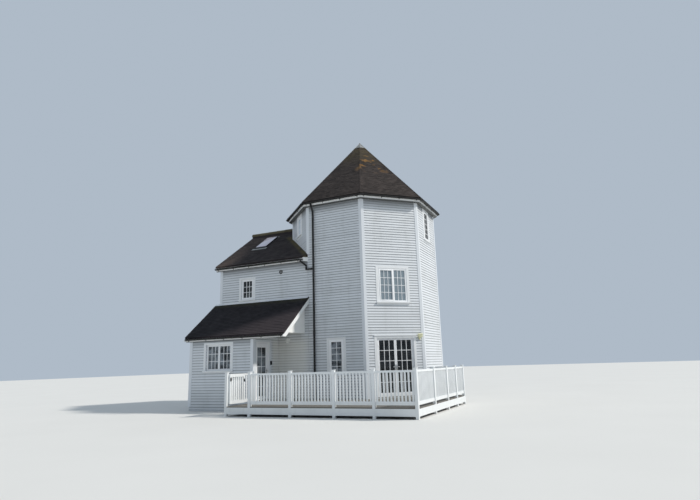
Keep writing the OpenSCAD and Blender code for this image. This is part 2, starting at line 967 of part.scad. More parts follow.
// A bargeboard whose foot runs out past the gutter
module lean_bargeboard() {
    foot_y = lean_fascia_y + 2 * gutter_r + barge_foot;
    foot_z = lean_gutter_z - gutter_r - barge_foot;
    bend_y = (lean_under_z(0) - barge_h - foot_z) / lean_slope;
    polygon([
        [-front_y, lean_under_z(front_y)], [-foot_y, lean_under_z(foot_y)], [-foot_y, foot_z],
        [-bend_y, foot_z], [-front_y, lean_under_z(front_y) - barge_h],
    ]);
}

module lean_to_eaves() {
    z = lean_gutter_z - fascia_drop;
    color("white") {
        along_x(lean_barge_x, -porch_right)
            polygon([
                [-lean_fascia_y, z], [-lean_fascia_y + fascia_t, z],
                [-lean_fascia_y + fascia_t, lean_under_z(lean_fascia_y - fascia_t)],
                [-lean_fascia_y, lean_under_z(lean_fascia_y)],
            ]);
        for (x = [lean_barge_x, -porch_right - fascia_t])
            along_x(x, x + fascia_t) lean_bargeboard();
    }
}

// The gutter ends against the feet of the two bargeboards
module lean_to_gutter() {
    color("#1c1c1e") translate([0, -lean_fascia_y - gutter_r, lean_gutter_z])
        along_x(lean_barge_x + fascia_t + seat, -porch_right - fascia_t - seat) gutter_section();
}

// Ceiling board, front beam and the triangular cheek that closes the porch roof's right end
module porch_ceiling() {
    z = lean_gutter_z - fascia_drop;
    top = porch_ceiling_z + fascia_t;
    inner = lean_fascia_y - fascia_t - seat;
    cheek_x = -porch_right - cheek_in;
    color("white") intersection() {
        union() {
            box(-lean_door_x + seat, cheek_x - e, -inner, -front_y - seat, porch_ceiling_z, top);
            box(-lean_door_x + seat, cheek_x - e, -inner, -inner + porch_beam, z, top);
            box(cheek_x - fascia_t, cheek_x, -inner, -front_y - seat, porch_ceiling_z, far);
            box(cheek_x - fascia_t, cheek_x, -inner, -inner + porch_beam, z, far);
        }
        lean_roof_void();
    }
}

// White boards on the corners and round the windows

// Height of the boards over windows and doors
head_trim = 75;
// How far a sill runs past the boards at its ends, and the depth of its underside below its top
sill_lip = 10;
sill_foot = 35;
// Height of the boards under the low windows
low_apron = 60;

// The board ring round one opening, with the sill that stands out below it
module surround(u, w, sill, head, a, apron = trim_w) {
    reach = w / 2 + trim_w;
    hole = w / 2 + seat;
    difference() {
        box(u - reach, u + reach, -a - trim_t, -a - seat, sill - apron, head + head_trim);
        box(u - hole, u + hole, -a - trim_t - e, -a + e, sill - seat, head + seat);
    }
    box(u - reach - sill_lip, u + reach + sill_lip, -a - trim_t - sill_out, -a - trim_t, sill - sill_foot, sill);
}

// The two boards on one corner of the tower, mitred where they meet; corner 0 looks 22.5 degrees left of +X
module tower_corner(k, z0) {
    inner = [(tower_a + seat) / cos(eighth), 0];
    tip = [(tower_a + trim_t) / cos(eighth), 0];
    edge = inner + trim_w * [-sin(eighth), cos(eighth)];
    face = edge + trim_t * [cos(eighth), sin(eighth)];
    rotate([0, 0, eighth + 45 * k]) translate([0, 0, z0])
        linear_extrude(tower_soffit_z - soffit_rebate - seat - z0)
            polygon([inner, edge, face, tip, [face[0], -face[1]], [edge[0], -edge[1]]]);
}

// The two boards on a square corner at the origin whose walls face -X and -Y
module square_corner(z0, z1) {
    box(-trim_t, trim_w, -trim_t, -seat, z0, z1);
    box(-trim_t, -seat, -e, trim_w, z0, z1);
}

// Foot of the corner boards above the ground
corner_foot = 150;

module corners() {
    for (k = [0:2]) tower_corner(k, corner_foot);
    for (k = [6, 7]) tower_corner(k, deck_z + seat);
    difference() {
        for (k = [3:5]) tower_corner(k, second_z - floor_t);
        translate([0, 0, wing_roof_v + 2 * seat]) wing_roof_void();
    }
    wing_top = wing_gutter_z - fascia_drop + 10 - seat;
    lean_top = lean_under_z(lean_y + trim_t) - rafter_t / cos(lean_pitch) - seat;
    translate([-wing_x, -lean_y, 0]) square_corner(corner_foot, lean_top);
    translate([-lean_door_x, -lean_y, 0]) mirror([1, 0, 0])
        square_corner(corner_foot, lean_gutter_z - fascia_drop - seat);
    translate([-wing_x, wing_y, 0]) mirror([0, 1, 0]) square_corner(corner_foot, wing_top);
    translate([-wing_x, -front_y, 0]) square_corner(lean_top_z + 30, wing_top);
}

// The board ring round a door, open at the floor, in a wall whose outside is the plane y = 0
module door_surround(w) {
    difference() {
        box(-w / 2 - trim_w, w / 2 + trim_w, -trim_t, -seat, floor_z, head_z + head_trim);
        box(-w / 2 - seat, w / 2 + seat, -trim_t - e, e, floor_z - e, head_z + seat);
    }
}

// Height of the board over the French doors, and how far it stands out in front of the boards round them
drip_h = 25;
drip_out = 25;

// The board that throws the rain clear above a door's head
module drip_board(w) {
    reach = w / 2 + trim_w + 2 * sill_lip;
    box(-reach, reach, -trim_t - drip_out, -seat, head_z + head_trim, head_z + head_trim + drip_h);
}

module outer_trim() {
    color("white") {
        for (turn = [45, 135])
            on_face(turn) surround(0, wide_w, wide_sill_z, wide_head_z, tower_a);
        for (turn = [0, 180])
            on_face(turn) surround(0, narrow_w, ground_sill_z, head_z, tower_a);
        for (turn = [90, 180])
            on_face(turn) surround(0, narrow_w, top_sill_low_z, top_head_z, tower_a);
        for (turn = [225, 315])
            on_face(turn) surround(0, narrow_w, top_sill_high_z, top_head_z, tower_a);
        surround(-small_x, small_w, small_sill_z, small_head_z, tower_a, low_apron);
        surround(-lean_win_x, lean_win_w, lean_sill_z, lean_head_z, lean_y, low_apron);
        rotate([0, 0, 180]) {
            surround(small_x, small_w, small_sill_z, small_head_z, wing_y, low_apron);
            surround(lean_win_x, lean_win_w, lean_sill_z, lean_head_z, wing_y, low_apron);
        }
        translate([0, wing_ridge_y, 0])
            rotate([0, 0, -90])
                surround(0, small_w, small_sill_z, small_head_z, wing_x, low_apron);
        at_front_door() door_surround(front_door_w);
        at_french_doors() {
            door_surround(french_w);
            drip_board(french_w);
        }
        corners();
    }
}

// Windows

// The spaces for the panes of a window between two depths; two lights stand on either side of a mullion
module lights(u, w, sill, head, y0, y1, count, shift) {
    reach = w / 2 - frame_w;
    ends = count == 1 ? [[-reach, reach]] : [[-reach, shift - frame_w / 2], [shift + frame_w / 2, reach]];
    for (end = ends) box(u + end[0], u + end[1], y0, y1, sill + frame_w, head - frame_w);
}

module frame(u, w, sill, head, y, count, shift) {
    difference() {
        box(u - w / 2, u + w / 2, y, y + frame_d, sill, head);
        lights(u, w, sill, head, y - e, y + frame_d + e, count, shift);
    }
}

module panes(u, w, sill, head, y, count, shift) {
    mid = y + frame_d / 2;
    lights(u, w, sill, head, mid - glass_t / 2, mid + glass_t / 2, count, shift);
}

// Every window in turn, as a frame or as its panes
module each_window(glass = false) {
    module unit(u, w, sill, head, y, count = 1, shift = 0) {
        if (glass) panes(u, w, sill, head, y, count, shift);
        else frame(u, w, sill, head, y, count, shift);
    }
    tower_y = -tower_a - tower_frame_out;
    for (turn = [0, 180])
        on_face(turn) unit(0, narrow_w, ground_sill_z, head_z, tower_y);
    for (turn = [45, 135])
        on_face(turn) unit(0, wide_w, wide_sill_z, wide_head_z, tower_y, 2, mullion_shift);
    for (turn = [90, 180])
        on_face(turn) unit(0, narrow_w, top_sill_low_z, top_head_z, tower_y);
    for (turn = [225, 315])
        on_face(turn) unit(0, narrow_w, top_sill_high_z, top_head_z, tower_y);
    unit(-small_x, small_w, small_sill_z, small_head_z, -tower_a + frame_back);
    unit(-lean_win_x, lean_win_w, lean_sill_z, lean_head_z, -lean_y + lean_frame_back, 2);
    rotate([0, 0, 180]) {
        unit(small_x, small_w, small_sill_z, small_head_z, -wing_y + frame_back);
        unit(lean_win_x, lean_win_w, lean_sill_z, lean_head_z, -wing_y + lean_frame_back, 2);
    }
    translate([0, wing_ridge_y, 0])
        rotate([0, 0, -90])
            unit(0, small_w, small_sill_z, small_head_z, -wing_x + frame_back);
}

module window_frames() {
    color("white") each_window();
}

module window_glass() {
    color("slategray") each_window(true);
}

// Doors, drawn in a wall whose outside is the plane y = 0 and whose inside is towards +Y

module door_frame(w, back) {
    difference() {
        box(-w / 2, w / 2, back, back + door_frame_d, floor_z, head_z);
        box(-w / 2 + door_frame_w, w / 2 - door_frame_w, back - e, back + door_frame_d + e,
            floor_z + threshold_h, head_z - door_frame_w);
    }
}

// A leaf from u0 to u1 with its face at depth y0
module leaf(u0, u1, y0, stile, top_rail) {
    low = floor_z + threshold_h + leaf_gap;
    high = head_z - door_frame_w - leaf_gap;
    difference() {
        box(u0, u1, y0, y0 + leaf_t, low, high);
        box(u0 + stile, u1 - stile, y0 - e, y0 + leaf_t + e, low + bottom_rail, high - top_rail);
    }
}

module leaf_glass(u0, u1, y0, stile, top_rail) {
    low = floor_z + threshold_h + leaf_gap;
    high = head_z - door_frame_w - leaf_gap;
    mid = y0 + leaf_t / 2;
    box(u0 + stile, u1 - stile, mid - glass_t / 2, mid + glass_t / 2, low + bottom_rail, high - top_rail);
}

hinge_heights = [620, 1400, 2160];

// The fixed half of a hinge: a knuckle and a pin on the axis, and a plate that reaches the frame
module hinge_pins(u, y, plate_u, plate_y) {
    for (z = hinge_heights) {
        translate([u, y, z]) cylinder(r = knuckle_r, h = knuckle_h);
        translate([u, y, z]) cylinder(r = pin_r, h = 2 * knuckle_h);
        box(min(u, plate_u), max(u, plate_u), min(y, plate_y), max(y, plate_y), z, z + knuckle_h);
    }
}

// The moving half: a bored knuckle that stands on the fixed one, with its plate on the leaf
module hinge_eyes(u, y, plate_u, plate_y) {
    for (z = hinge_heights) translate([0, 0, z + knuckle_h + pin_fit]) difference() {
        union() {
            translate([u, y, 0]) cylinder(r = knuckle_r, h = knuckle_h);
            box(min(u, plate_u), max(u, plate_u), min(y, plate_y), max(y, plate_y), 0, knuckle_h);
        }
        translate([u, y, -e]) cylinder(r = pin_r + pin_fit, h = knuckle_h + 2 * e);
    }
}

// The front door opens inwards, so its hinges are on its inner face
front_u0 = -front_door_w / 2 + door_frame_w + leaf_gap;
front_u1 = front_door_w / 2 - door_frame_w - leaf_gap - 2;
front_in = front_door_back + leaf_t;
front_pin_u = front_u0 - leaf_gap / 2;
front_pin_y = front_in + knuckle_r + 1;

module at_front_door() {
    translate([-lean_door_x, door_mid_y, 0]) rotate([0, 0, 90]) children();
}

module front_door_frame() {
    color("white") at_front_door() {
        door_frame(front_door_w, front_in - door_frame_d);
        hinge_pins(front_pin_u, front_pin_y, -front_door_w / 2 + door_frame_w / 2, front_in);
    }
}

module front_door() {
    color("white") at_front_door() {
        leaf(front_u0, front_u1, front_door_back, front_stile, front_top_rail);
        hinge_eyes(front_pin_u, front_pin_y, front_u0 + 20, front_in);
        levers(front_u1 - front_stile / 2, front_door_back, 1);
    }
}

// A lever handle on a plate, standing out of the plane y = 0 towards -Y; its lever points along +X
module lever() {
    box(-18, 18, -6, e, handle_z - 140, handle_z + 80);
    translate([0, e, handle_z]) rotate([90, 0, 0]) cylinder(r = 9, h = 40 + e);
    translate([-9, -34, handle_z]) rotate([0, 90, 0]) cylinder(r = 8, h = lever_len);
}

// Levers on both faces of a leaf that lies between depths y0 and y0 + leaf_t
module levers(u, y0, left) {
    translate([u, y0, 0]) mirror([left, 0, 0]) lever();
    translate([u, y0 + leaf_t, 0]) mirror([left, 0, 0]) mirror([0, 1, 0]) lever();
}

module front_door_glass() {
    color("slategray") at_front_door()
        leaf_glass(front_u0, front_u1, front_door_back, front_stile, front_top_rail);
}

// The French doors open outwards, so their hinges are on their outer faces
french_back = 15;
french_u0 = -french_w / 2 + door_frame_w + leaf_gap;
meeting_gap = 10;
french_pin_u = french_u0 - leaf_gap / 2;
french_pin_y = french_back - knuckle_r - 1;

module at_french_doors() {
    rotate([0, 0, 45]) translate([0, -tower_a, 0]) children();
}

module french_door_frame() {
    color("white") at_french_doors() {
        door_frame(french_w, french_back);
        for (side = [0, 1]) mirror([side, 0, 0])
            hinge_pins(french_pin_u, french_pin_y, -french_w / 2 + door_frame_w / 2, french_back);
    }
}

module french_leaf() {
    leaf(french_u0, -meeting_gap / 2, french_back, french_stile, french_top_rail);
    hinge_eyes(french_pin_u, french_pin_y, french_u0 + 20, french_back);
    levers(-meeting_gap / 2 - french_stile / 2, french_back, 1);
}

module french_pane() {
    leaf_glass(french_u0, -meeting_gap / 2, french_back, french_stile, french_top_rail);
}

module french_door_left() {
    color("white") at_french_doors() french_leaf();
}

module french_door_right() {
    color("white") at_french_doors() mirror([1, 0, 0]) french_leaf();
}

module french_glass_left() {
    color("slategray") at_french_doors() french_pane();
}

module french_glass_right() {
    color("slategray") at_french_doors() mirror([1, 0, 0]) french_pane();
}

// Deck and fence

deck_edge = post_w / 2;

// The deck fills the corner between the lean-to, the tower and the fence
module deck_plan() {
    difference() {
        translate([-gate_post_x - deck_edge, -fence_y - deck_edge])
            square([gate_post_x + fence_right_x + 2 * deck_edge, fence_y - fence_back_y + 2 * deck_edge]);
        octagon(tower_a + seat);
        translate([-far, -lean_y - seat]) square([far - lean_door_x + seat, far]);
        translate([-far, -front_y - seat]) square([far, far]);
    }
}

// The deck's boards, notched round the posts and the downpipe
module deck() {
    notch = post_w / 2 + seat;
    color("silver") translate([0, 0, deck_z - deck_t]) linear_extrude(deck_t) difference() {
        deck_plan();
        for (p = post_places) translate([p[0] - notch, p[1] - notch]) square(2 * notch);
        translate([-pipe_x, pipe_y]) circle(r = pipe_r + pipe_clear);
    }
}

// One skirt board between two post centres, under the deck's edge
module skirt_board(x0, x1, y) {
    a = x0 + post_w / 2 + seat;
    b = x1 - post_w / 2 - seat;
    box(a, b, y - post_w / 2, y - post_w / 2 + deck_t, skirt_gap, deck_z - deck_t - seat);
}

module deck_skirt() {
    xs = concat([-gate_post_x], bay_posts);
    ys = concat([-fence_y], right_posts);
    color("white") {
        for (k = [0:len(xs) - 2]) skirt_board(xs[k], xs[k + 1], -fence_y);
        rotate([0, 0, 90]) for (k = [0:len(ys) - 2]) skirt_board(ys[k], ys[k + 1], -fence_right_x);
        rotate([0, 0, -90]) skirt_board(-left_end_y, fence_y, -gate_post_x);
        rotate([0, 0, 180]) skirt_board(-fence_right_x, -tower_a - post_w / 2, fence_back_y);
    }
}

bay_posts = [-latch_post_x, 10, 1540, 2840, fence_right_x];
left_end_y = -lean_y - trim_t - post_w / 2;
right_posts = [-4500, -3000, -1800, -fence_back_y];

module post(x, y) {
    half = post_w / 2;
    box(x - half, x + half, y - half, y + half, 0, post_top_z);
    box(x - half - 12, x + half + 12, y - half - 12, y + half + 12, post_top_z, post_top_z + 20);
}

post_places = concat(
    [for (x = concat([-gate_post_x], bay_posts)) [x, -fence_y]],
    [for (y = right_posts) [fence_right_x, y]],
    [[-gate_post_x, left_end_y]]
);

module fence_posts() {
    color("white") {
        for (p = post_places) post(p[0], p[1]);
        gate_pins();
    }
}

// One bay of fence along X between two post centres
module bay(x0, x1, y) {
    a = x0 + post_w / 2;
    b = x1 - post_w / 2;
    count = round((b - a) / picket_pitch);
    step = (b - a) / count;
    box(a, b, y - rail_t / 2, y + rail_t / 2, rail_top_z - rail_h, rail_top_z);
    box(a, b, y - rail_t / 2, y + rail_t / 2, bottom_rail_z, bottom_rail_z + bottom_rail_h);
    for (k = [0:count - 1])
        box(a + (k + 0.5) * step - picket_w / 2, a + (k + 0.5) * step + picket_w / 2,
            y - picket_t / 2, y + picket_t / 2, bottom_rail_z + bottom_rail_h - e, rail_top_z - rail_h + e);
}

module fence_front() {
    color("white") for (k = [0:len(bay_posts) - 2]) bay(bay_posts[k], bay_posts[k + 1], -fence_y);
}

module fence_left() {
    color("white") rotate([0, 0, 90]) bay(-fence_y, left_end_y, gate_post_x);
}

module fence_right() {
    ys = concat([-fence_y], right_posts);
    color("white") rotate([0, 0, 90]) for (k = [0:len(ys) - 2]) bay(ys[k], ys[k + 1], -fence_right_x);
}

module fence_back() {
    color("white") bay(tower_a - post_w / 2, fence_right_x, -fence_back_y);
}

// The gate stands open, swung inwards from the front fence line
pin_clear = 5;
gate_pin_x = -gate_post_x + post_w / 2 + knuckle_r + pin_clear;
gate_pin_y = -fence_y + rail_t / 2 + knuckle_r + 1;
gate_heel = 4;
gate_len = -latch_post_x - post_w / 2 - gate_gap - gate_pin_x - gate_heel;
gate_hinge_heights = [430, 1270];
gate_stile = 60;

// Knuckles and pins on the gatepost
module gate_pins() {
    for (z = gate_hinge_heights) translate([gate_pin_x, gate_pin_y, z]) {
        cylinder(r = knuckle_r, h = knuckle_h);
        cylinder(r = pin_r, h = 2 * knuckle_h);
        box(-knuckle_r - pin_clear - e, 0, -knuckle_r / 2, knuckle_r / 2, 0, knuckle_h);
    }
}

// Bored knuckles on the gate, with a plate along its stile
module gate_eyes() {
    for (z = gate_hinge_heights) translate([gate_pin_x, gate_pin_y, z + knuckle_h + pin_fit]) difference() {
        union() {
            cylinder(r = knuckle_r, h = knuckle_h);
            box(0, knuckle_r + 3, 0, gate_stile, 0, knuckle_h);
        }
        translate([0, 0, -e]) cylinder(r = pin_r + pin_fit, h = knuckle_h + 2 * e);
    }
}

module gate() {
    x0 = gate_pin_x + knuckle_r + 1;
    y0 = gate_pin_y + gate_heel;
    color("white") gate_eyes();
    color("white") translate([x0, y0, 0]) {
        for (z = [bottom_rail_z, rail_top_z - bottom_rail_h])
            box(0, rail_t, 0, gate_len, z, z + bottom_rail_h);
        for (y = [0, gate_len - gate_stile])
            box(0, rail_t, y, y + gate_stile, bottom_rail_z, rail_top_z);
        count = round((gate_len - 2 * gate_stile) / picket_pitch);
        step = (gate_len - 2 * gate_stile) / count;
        for (k = [0:count - 1])
            box(rail_t / 2 - picket_t / 2, rail_t / 2 + picket_t / 2,
                gate_stile + (k + 0.5) * step - picket_w / 2, gate_stile + (k + 0.5) * step + picket_w / 2,
                bottom_rail_z + bottom_rail_h - e, rail_top_z - bottom_rail_h + e);
        latch(gate_len - gate_stile / 2);
    }
}

// Plates and ring handles on both faces of the gate's stile, and the bolt between them
module latch(y) {
    for (side = [0, 1]) translate([rail_t / 2, y, latch_z]) mirror([side, 0, 0]) translate([rail_t / 2, 0, 0]) {
        box(-e, 5, -25, 25, -50, 50);
        rotate([0, 90, 0]) cylinder(r = 8, h = 18);
        translate([12, 0, -20]) rotate([0, 90, 0]) rotate_extrude() translate([24, 0]) circle(r = 5);
    }
}

// Fittings

// Fittings stand on a block as thick as the weatherboards
vent_rim = 15;
vent_stand = 20;
louvre_h = 6;

module wall_vent() {
    color("#1c1c1e") translate([-vent_x, -tower_a, vent_z]) rotate([90, 0, 0]) {
        difference() {
            cylinder(r = vent_r, h = board_t + vent_stand);
            translate([0, 0, board_t]) cylinder(r = vent_r - vent_rim, h = far);
        }
        for (k = [-2:2])
            translate([0, 0, board_t - e]) intersection() {
                cylinder(r = vent_r - vent_rim / 2, h = vent_stand / 2);
                translate([-vent_r, 22 * k - louvre_h / 2, 0]) cube([2 * vent_r, louvre_h, vent_stand]);
            }
    }
}

// Place of the flood lamp along its wall, half the width of its head, its heights below and above its middle,
// and its reach off the boards
flood_u = round(half_side(tower_a)) - flood_in;
flood_half = 95;
flood_down = 70;
flood_up = 75;
flood_reach = 110;
// Half the width of its wall plate, its foot and the size of its neck and of the sensor under it
flood_plate = 35;
flood_plate_t = 20;
flood_foot = 150;
flood_neck_r = 18;
sensor_r = 22;
sensor_h = 55;
flood_tilt = 20;

// The porch lamp's base and the two steps of its dome: how far each stands in and where it ends
lamp_steps = [[0, 26], [12, 46], [22, 66]];

module porch_lamp() {
    rotate([90, 0, 0])
        for (step = lamp_steps) cylinder(r = porch_lamp_r - step[0], h = board_t + step[1]);
}

// A wall plate, a neck, a sensor below it and a head that leans down
module flood_lamp() {
    box(-flood_plate, flood_plate, -board_t - flood_plate_t, 0, -flood_foot, flood_plate);
    rotate([90, 0, 0]) cylinder(r = flood_neck_r, h = board_t + flood_reach / 2);
    translate([0, -board_t - flood_plate_t - sensor_r / 2, -flood_foot]) cylinder(r = sensor_r, h = sensor_h);
    intersection() {
        translate([0, -board_t - flood_reach / 2, 0]) rotate([-flood_tilt, 0, 0])
            box(-flood_half, flood_half, -flood_reach / 3, flood_reach / 4, -flood_down, flood_up);
        box(-far, far, -board_t - flood_reach, -board_t - flood_plate_t, -far, far);
    }
}

module wall_lamps() {
    color("beige") {
        translate([-porch_lamp_x, -tower_a, porch_lamp_z]) porch_lamp();
        on_face(45) translate([flood_u, -tower_a, flood_z]) flood_lamp();
    }
}

module key_safe() {
    color("#222222") box(-lean_door_x + trim_t, -lean_door_x + trim_t + 50, door_y1 + 12, door_y1 + 87,
                         safe_z - 75, safe_z + 75);
}

tower_wall_front();
tower_wall_door_left();
tower_wall_door_right();
tower_wall_door_over();
tower_wall_right();
tower_wall_back_right();
tower_wall_back();
tower_wall_back_left();
tower_wall_left();
tower_wall_front_left();
wing_wall_front();
wing_wall_gable();
wing_wall_back();
porch_wall();
lean_to_wall_front();
lean_to_wall_left();
lean_to_wall_right();
lean_to_wall_door_over();
ground_slab();
tower_floor_first();
tower_floor_second();
wing_floor_first();
tower_roof();
tower_cap();
tower_eaves();
tower_gutter();
downpipe();
wing_roof_front();
wing_roof_back();
wing_ridge();
wing_eaves();
wing_gutter();
skylight();
lean_to_roof();
lean_to_eaves();
lean_to_gutter();
porch_ceiling();
outer_trim();
window_frames();
window_glass();
front_door_frame();
front_door();
front_door_glass();
french_door_frame();
french_door_left();
french_glass_left();
french_door_right();
french_glass_right();
deck();
deck_skirt();
fence_posts();
fence_front();
fence_left();
fence_right();
fence_back();
gate();
wall_vent();
wall_lamps();
key_safe();
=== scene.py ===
"""Finishes and fine construction of a weatherboarded oast house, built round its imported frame.

Lengths are metres. +X runs along the front wall, -Y faces the front and +Z is up.
"""

import json
import logging
import math
import random
from collections.abc import Iterable, Iterator, Sequence
from dataclasses import dataclass
from enum import Enum

import bmesh
import bpy
from mathutils import Matrix, Vector


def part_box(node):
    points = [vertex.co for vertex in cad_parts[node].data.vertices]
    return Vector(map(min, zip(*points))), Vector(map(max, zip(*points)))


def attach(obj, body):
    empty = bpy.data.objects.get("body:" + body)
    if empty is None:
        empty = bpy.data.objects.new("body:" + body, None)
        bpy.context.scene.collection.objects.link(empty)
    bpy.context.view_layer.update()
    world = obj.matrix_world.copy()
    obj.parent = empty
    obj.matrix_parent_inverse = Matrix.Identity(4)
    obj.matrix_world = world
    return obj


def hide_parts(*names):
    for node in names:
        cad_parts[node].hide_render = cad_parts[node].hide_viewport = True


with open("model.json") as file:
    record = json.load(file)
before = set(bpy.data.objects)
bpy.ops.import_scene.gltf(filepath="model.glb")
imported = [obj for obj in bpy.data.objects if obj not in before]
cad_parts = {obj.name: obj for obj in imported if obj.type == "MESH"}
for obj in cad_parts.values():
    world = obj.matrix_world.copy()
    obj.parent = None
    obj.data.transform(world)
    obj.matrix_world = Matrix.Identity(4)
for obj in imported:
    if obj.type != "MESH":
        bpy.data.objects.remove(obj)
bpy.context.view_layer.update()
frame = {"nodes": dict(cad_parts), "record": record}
LOG = logging.getLogger("oast_house")

STILL = Matrix.Identity(4)
EIGHTH = math.pi / 8
UP = Vector((0, 0, 1))
GROUND_LINE = 0.15
BOARD_GAUGE = 0.10
BOARD_DEPTH = 0.03
FLOOR = 0.36
DOOR_HEAD = 2.46
TOP_HEAD = 7.725
TOWER_FACE = 2.88
TOWER_CORNER = 1.193
TOWER_EDGE = 3.12
TOWER_EAVES = 7.975
CAP_HALF = 0.29
HIP_END = 0.27
HIP_FOOT = 7.99
WING_EDGE = 3.066
WING_EAVES = 5.762
WING_END = 5.41
VERGE = 5.65
GABLE_FACE = 5.46
BACK_FACE = 2.24
BACK_EDGE = 2.426
LEAN_FACE = 4.60
LEAN_EDGE = 4.711
PORCH_FACE = 2.55
PIPE_OUT = 2.963
Point = Sequence[float]
Colour = tuple[float, float, float]
Plane = tuple[Point, Point]


class Slot(Enum):
    """The record's material slots."""

    BOARDS = "white_boards"
    CONCRETE = "concrete"
    FLOORS = "floor_timber"
    TILES = "roof_tiles"
    LEAD = "lead"
    TRIM = "white_trim"
    GUTTER = "black_gutter"
    SKYLIGHT = "skylight_metal"
    JOINERY = "white_joinery"
    GLASS = "window_glass"
    DECK = "grey_deck"
    FENCE = "white_fence"
    LAMP = "cream_lamp"


class Body(Enum):
    """The bodies that pieces ride on."""

    HOUSE = "root"
    FRONT_LEAF = "front_leaf"
    FRENCH_LEFT = "french_leaf_left"
    FRENCH_RIGHT = "french_leaf_right"
    GATE = "gate_leaf"


def paint(red: float, green: float, blue: float) -> Colour:
    """Turns a colour from 0 to 255 as it looks into the light that it sends back."""
    return tuple((part / 255) ** 2.2 for part in (red, green, blue))


# Shader kit


@dataclass(frozen=True)
class Value:
    """What comes out of a shader node. Arithmetic on it adds Math nodes."""

    graph: "Graph"
    socket: bpy.types.NodeSocket

    def maths(self, operation: str, *values: "Value | float") -> "Value":
        """Adds one Math node to this value's graph.

        Args:
            operation: The Math node's operation.
            values: Its operands in order.

        Returns:
            The result.
        """
        return self.graph.node("Math", {"operation": operation}, dict(enumerate(values)))

    def __add__(self, other: "Value | float") -> "Value":
        """Adds."""
        return self.maths("ADD", self, other)

    def __sub__(self, other: "Value | float") -> "Value":
        """Subtracts."""
        return self.maths("SUBTRACT", self, other)

    def __rsub__(self, other: float) -> "Value":
        """Subtracts this value from a number."""
        return self.maths("SUBTRACT", other, self)

    def __mul__(self, other: "Value | float") -> "Value":
        """Multiplies."""
        return self.maths("MULTIPLY", self, other)

    __radd__ = __add__
    __rmul__ = __mul__

    def ramp(self, low: float, high: float) -> "Value":
        """Rises smoothly from 0 at low to 1 at high, and falls where low is above high."""
        inputs = {"Value": self, "From Min": min(low, high), "From Max": max(low, high)}
        rise = self.graph.node("MapRange", {"interpolation_type": "SMOOTHSTEP"}, inputs)
        return rise if high > low else 1 - rise


class Graph:
    """The node tree of one material."""

    def __init__(self, name: str) -> None:
        """Starts an empty material.

        Args:
            name: The material's name.
        """
        self.material = bpy.data.materials.new(name)
        self.material.use_nodes = True
        self.tree = self.material.node_tree
        self.tree.nodes.clear()

    def node(
        self,
        kind: str,
        settings: dict[str, object] | None = None,
        inputs: dict[str | int, object] | None = None,
        output: str | int = 0,
    ) -> Value:
        """Adds one shader node.

        Args:
            kind: The node's type without its ShaderNode prefix.
            settings: Its properties, which are set first.
            inputs: The values or links of its sockets, by name or number.
            output: The socket that is handed back.

        Returns:
            That output.
        """
        made = self.tree.nodes.new("ShaderNode" + kind)
        for name, setting in (settings or {}).items():
            setattr(made, name, setting)
        for key, value in (inputs or {}).items():
            if isinstance(value, Value):
                self.tree.links.new(value.socket, made.inputs[key])
            else:
                made.inputs[key].default_value = value
        return Value(self, made.outputs[output] if made.outputs else made.inputs[0])

    def place(self, stretch: Point = (1, 1, 1)) -> Value:
        """The point on the object, stretched along its axes."""
        where = self.node("TexCoord", output="Object")
        return self.node("VectorMath", {"operation": "MULTIPLY"}, {0: where, 1: stretch})

    def along(self, direction: Point) -> Value:
        """How far the point on the object lies along a direction."""
        return self.node("VectorMath", {"operation": "DOT_PRODUCT"}, {0: self.place(), 1: direction}, "Value")

    def reach(self) -> Value:
        """How far the point on the object is from the tower's axis."""
        return self.node("VectorMath", {"operation": "LENGTH"}, {0: self.place((1, 1, 0))}, "Value")

    def noise(self, scale: float, detail: float = 4, stretch: Point = (1, 1, 1)) -> Value:
        """Cloudy noise from 0 to 1.

        Args:
            scale: How fine it is.
            detail: Its number of octaves.
            stretch: How many times finer it is along each axis.

        Returns:
            The noise.
        """
        inputs = {"Vector": self.place(stretch), "Scale": scale, "Detail": detail}
        return self.node("TexNoise", None, inputs, "Fac")

    def tone(self) -> Value:
        """The chance number that each board or tile carries."""
        return self.node("Attribute", {"attribute_name": "tone"}, output="Fac")

    def mix(self, share: "Value | float", first: "Value | Colour", second: "Value | Colour") -> Value:
        """Mixes two colours.

        Args:
            share: The share of the second colour.
            first: The first colour.
            second: The second colour.

        Returns:
            The mixed colour.
        """
        colours = [c if isinstance(c, Value) else (*c, 1) for c in (first, second)]
        settings = {"data_type": "RGBA", "clamp_factor": True}
        return self.node("Mix", settings, {0: share, 6: colours[0], 7: colours[1]}, 2)

    def bump(self, height: Value, depth: float) -> Value:
        """Turns a height from 0 to 1 into a bumped normal of that depth."""
        return self.node("Bump", None, {"Height": height, "Distance": depth})

    def surface(self, **sockets: object) -> bpy.types.Material:
        """Closes the material with a principled shader.

        Args:
            sockets: Its inputs, with underscores for the blanks in their names.

        Returns:
            The finished material.
        """
        inputs = {name.replace("_", " "): value for name, value in sockets.items()}
        shader = self.node("BsdfPrincipled", None, inputs)
        self.node("OutputMaterial", None, {"Surface": shader})
        return self.material


@dataclass(frozen=True)
class Finish:
    """A finish that dresses pieces."""

    name: str

    def material(self) -> bpy.types.Material:
        """The finish's material, made at its first use."""
        return bpy.data.materials.get(self.name) or self.shade(Graph(self.name))

    def shade(self, graph: Graph) -> bpy.types.Material:
        """Builds the material's nodes.

        Args:
            graph: The empty material.

        Returns:
            The finished material.
        """
        raise NotImplementedError


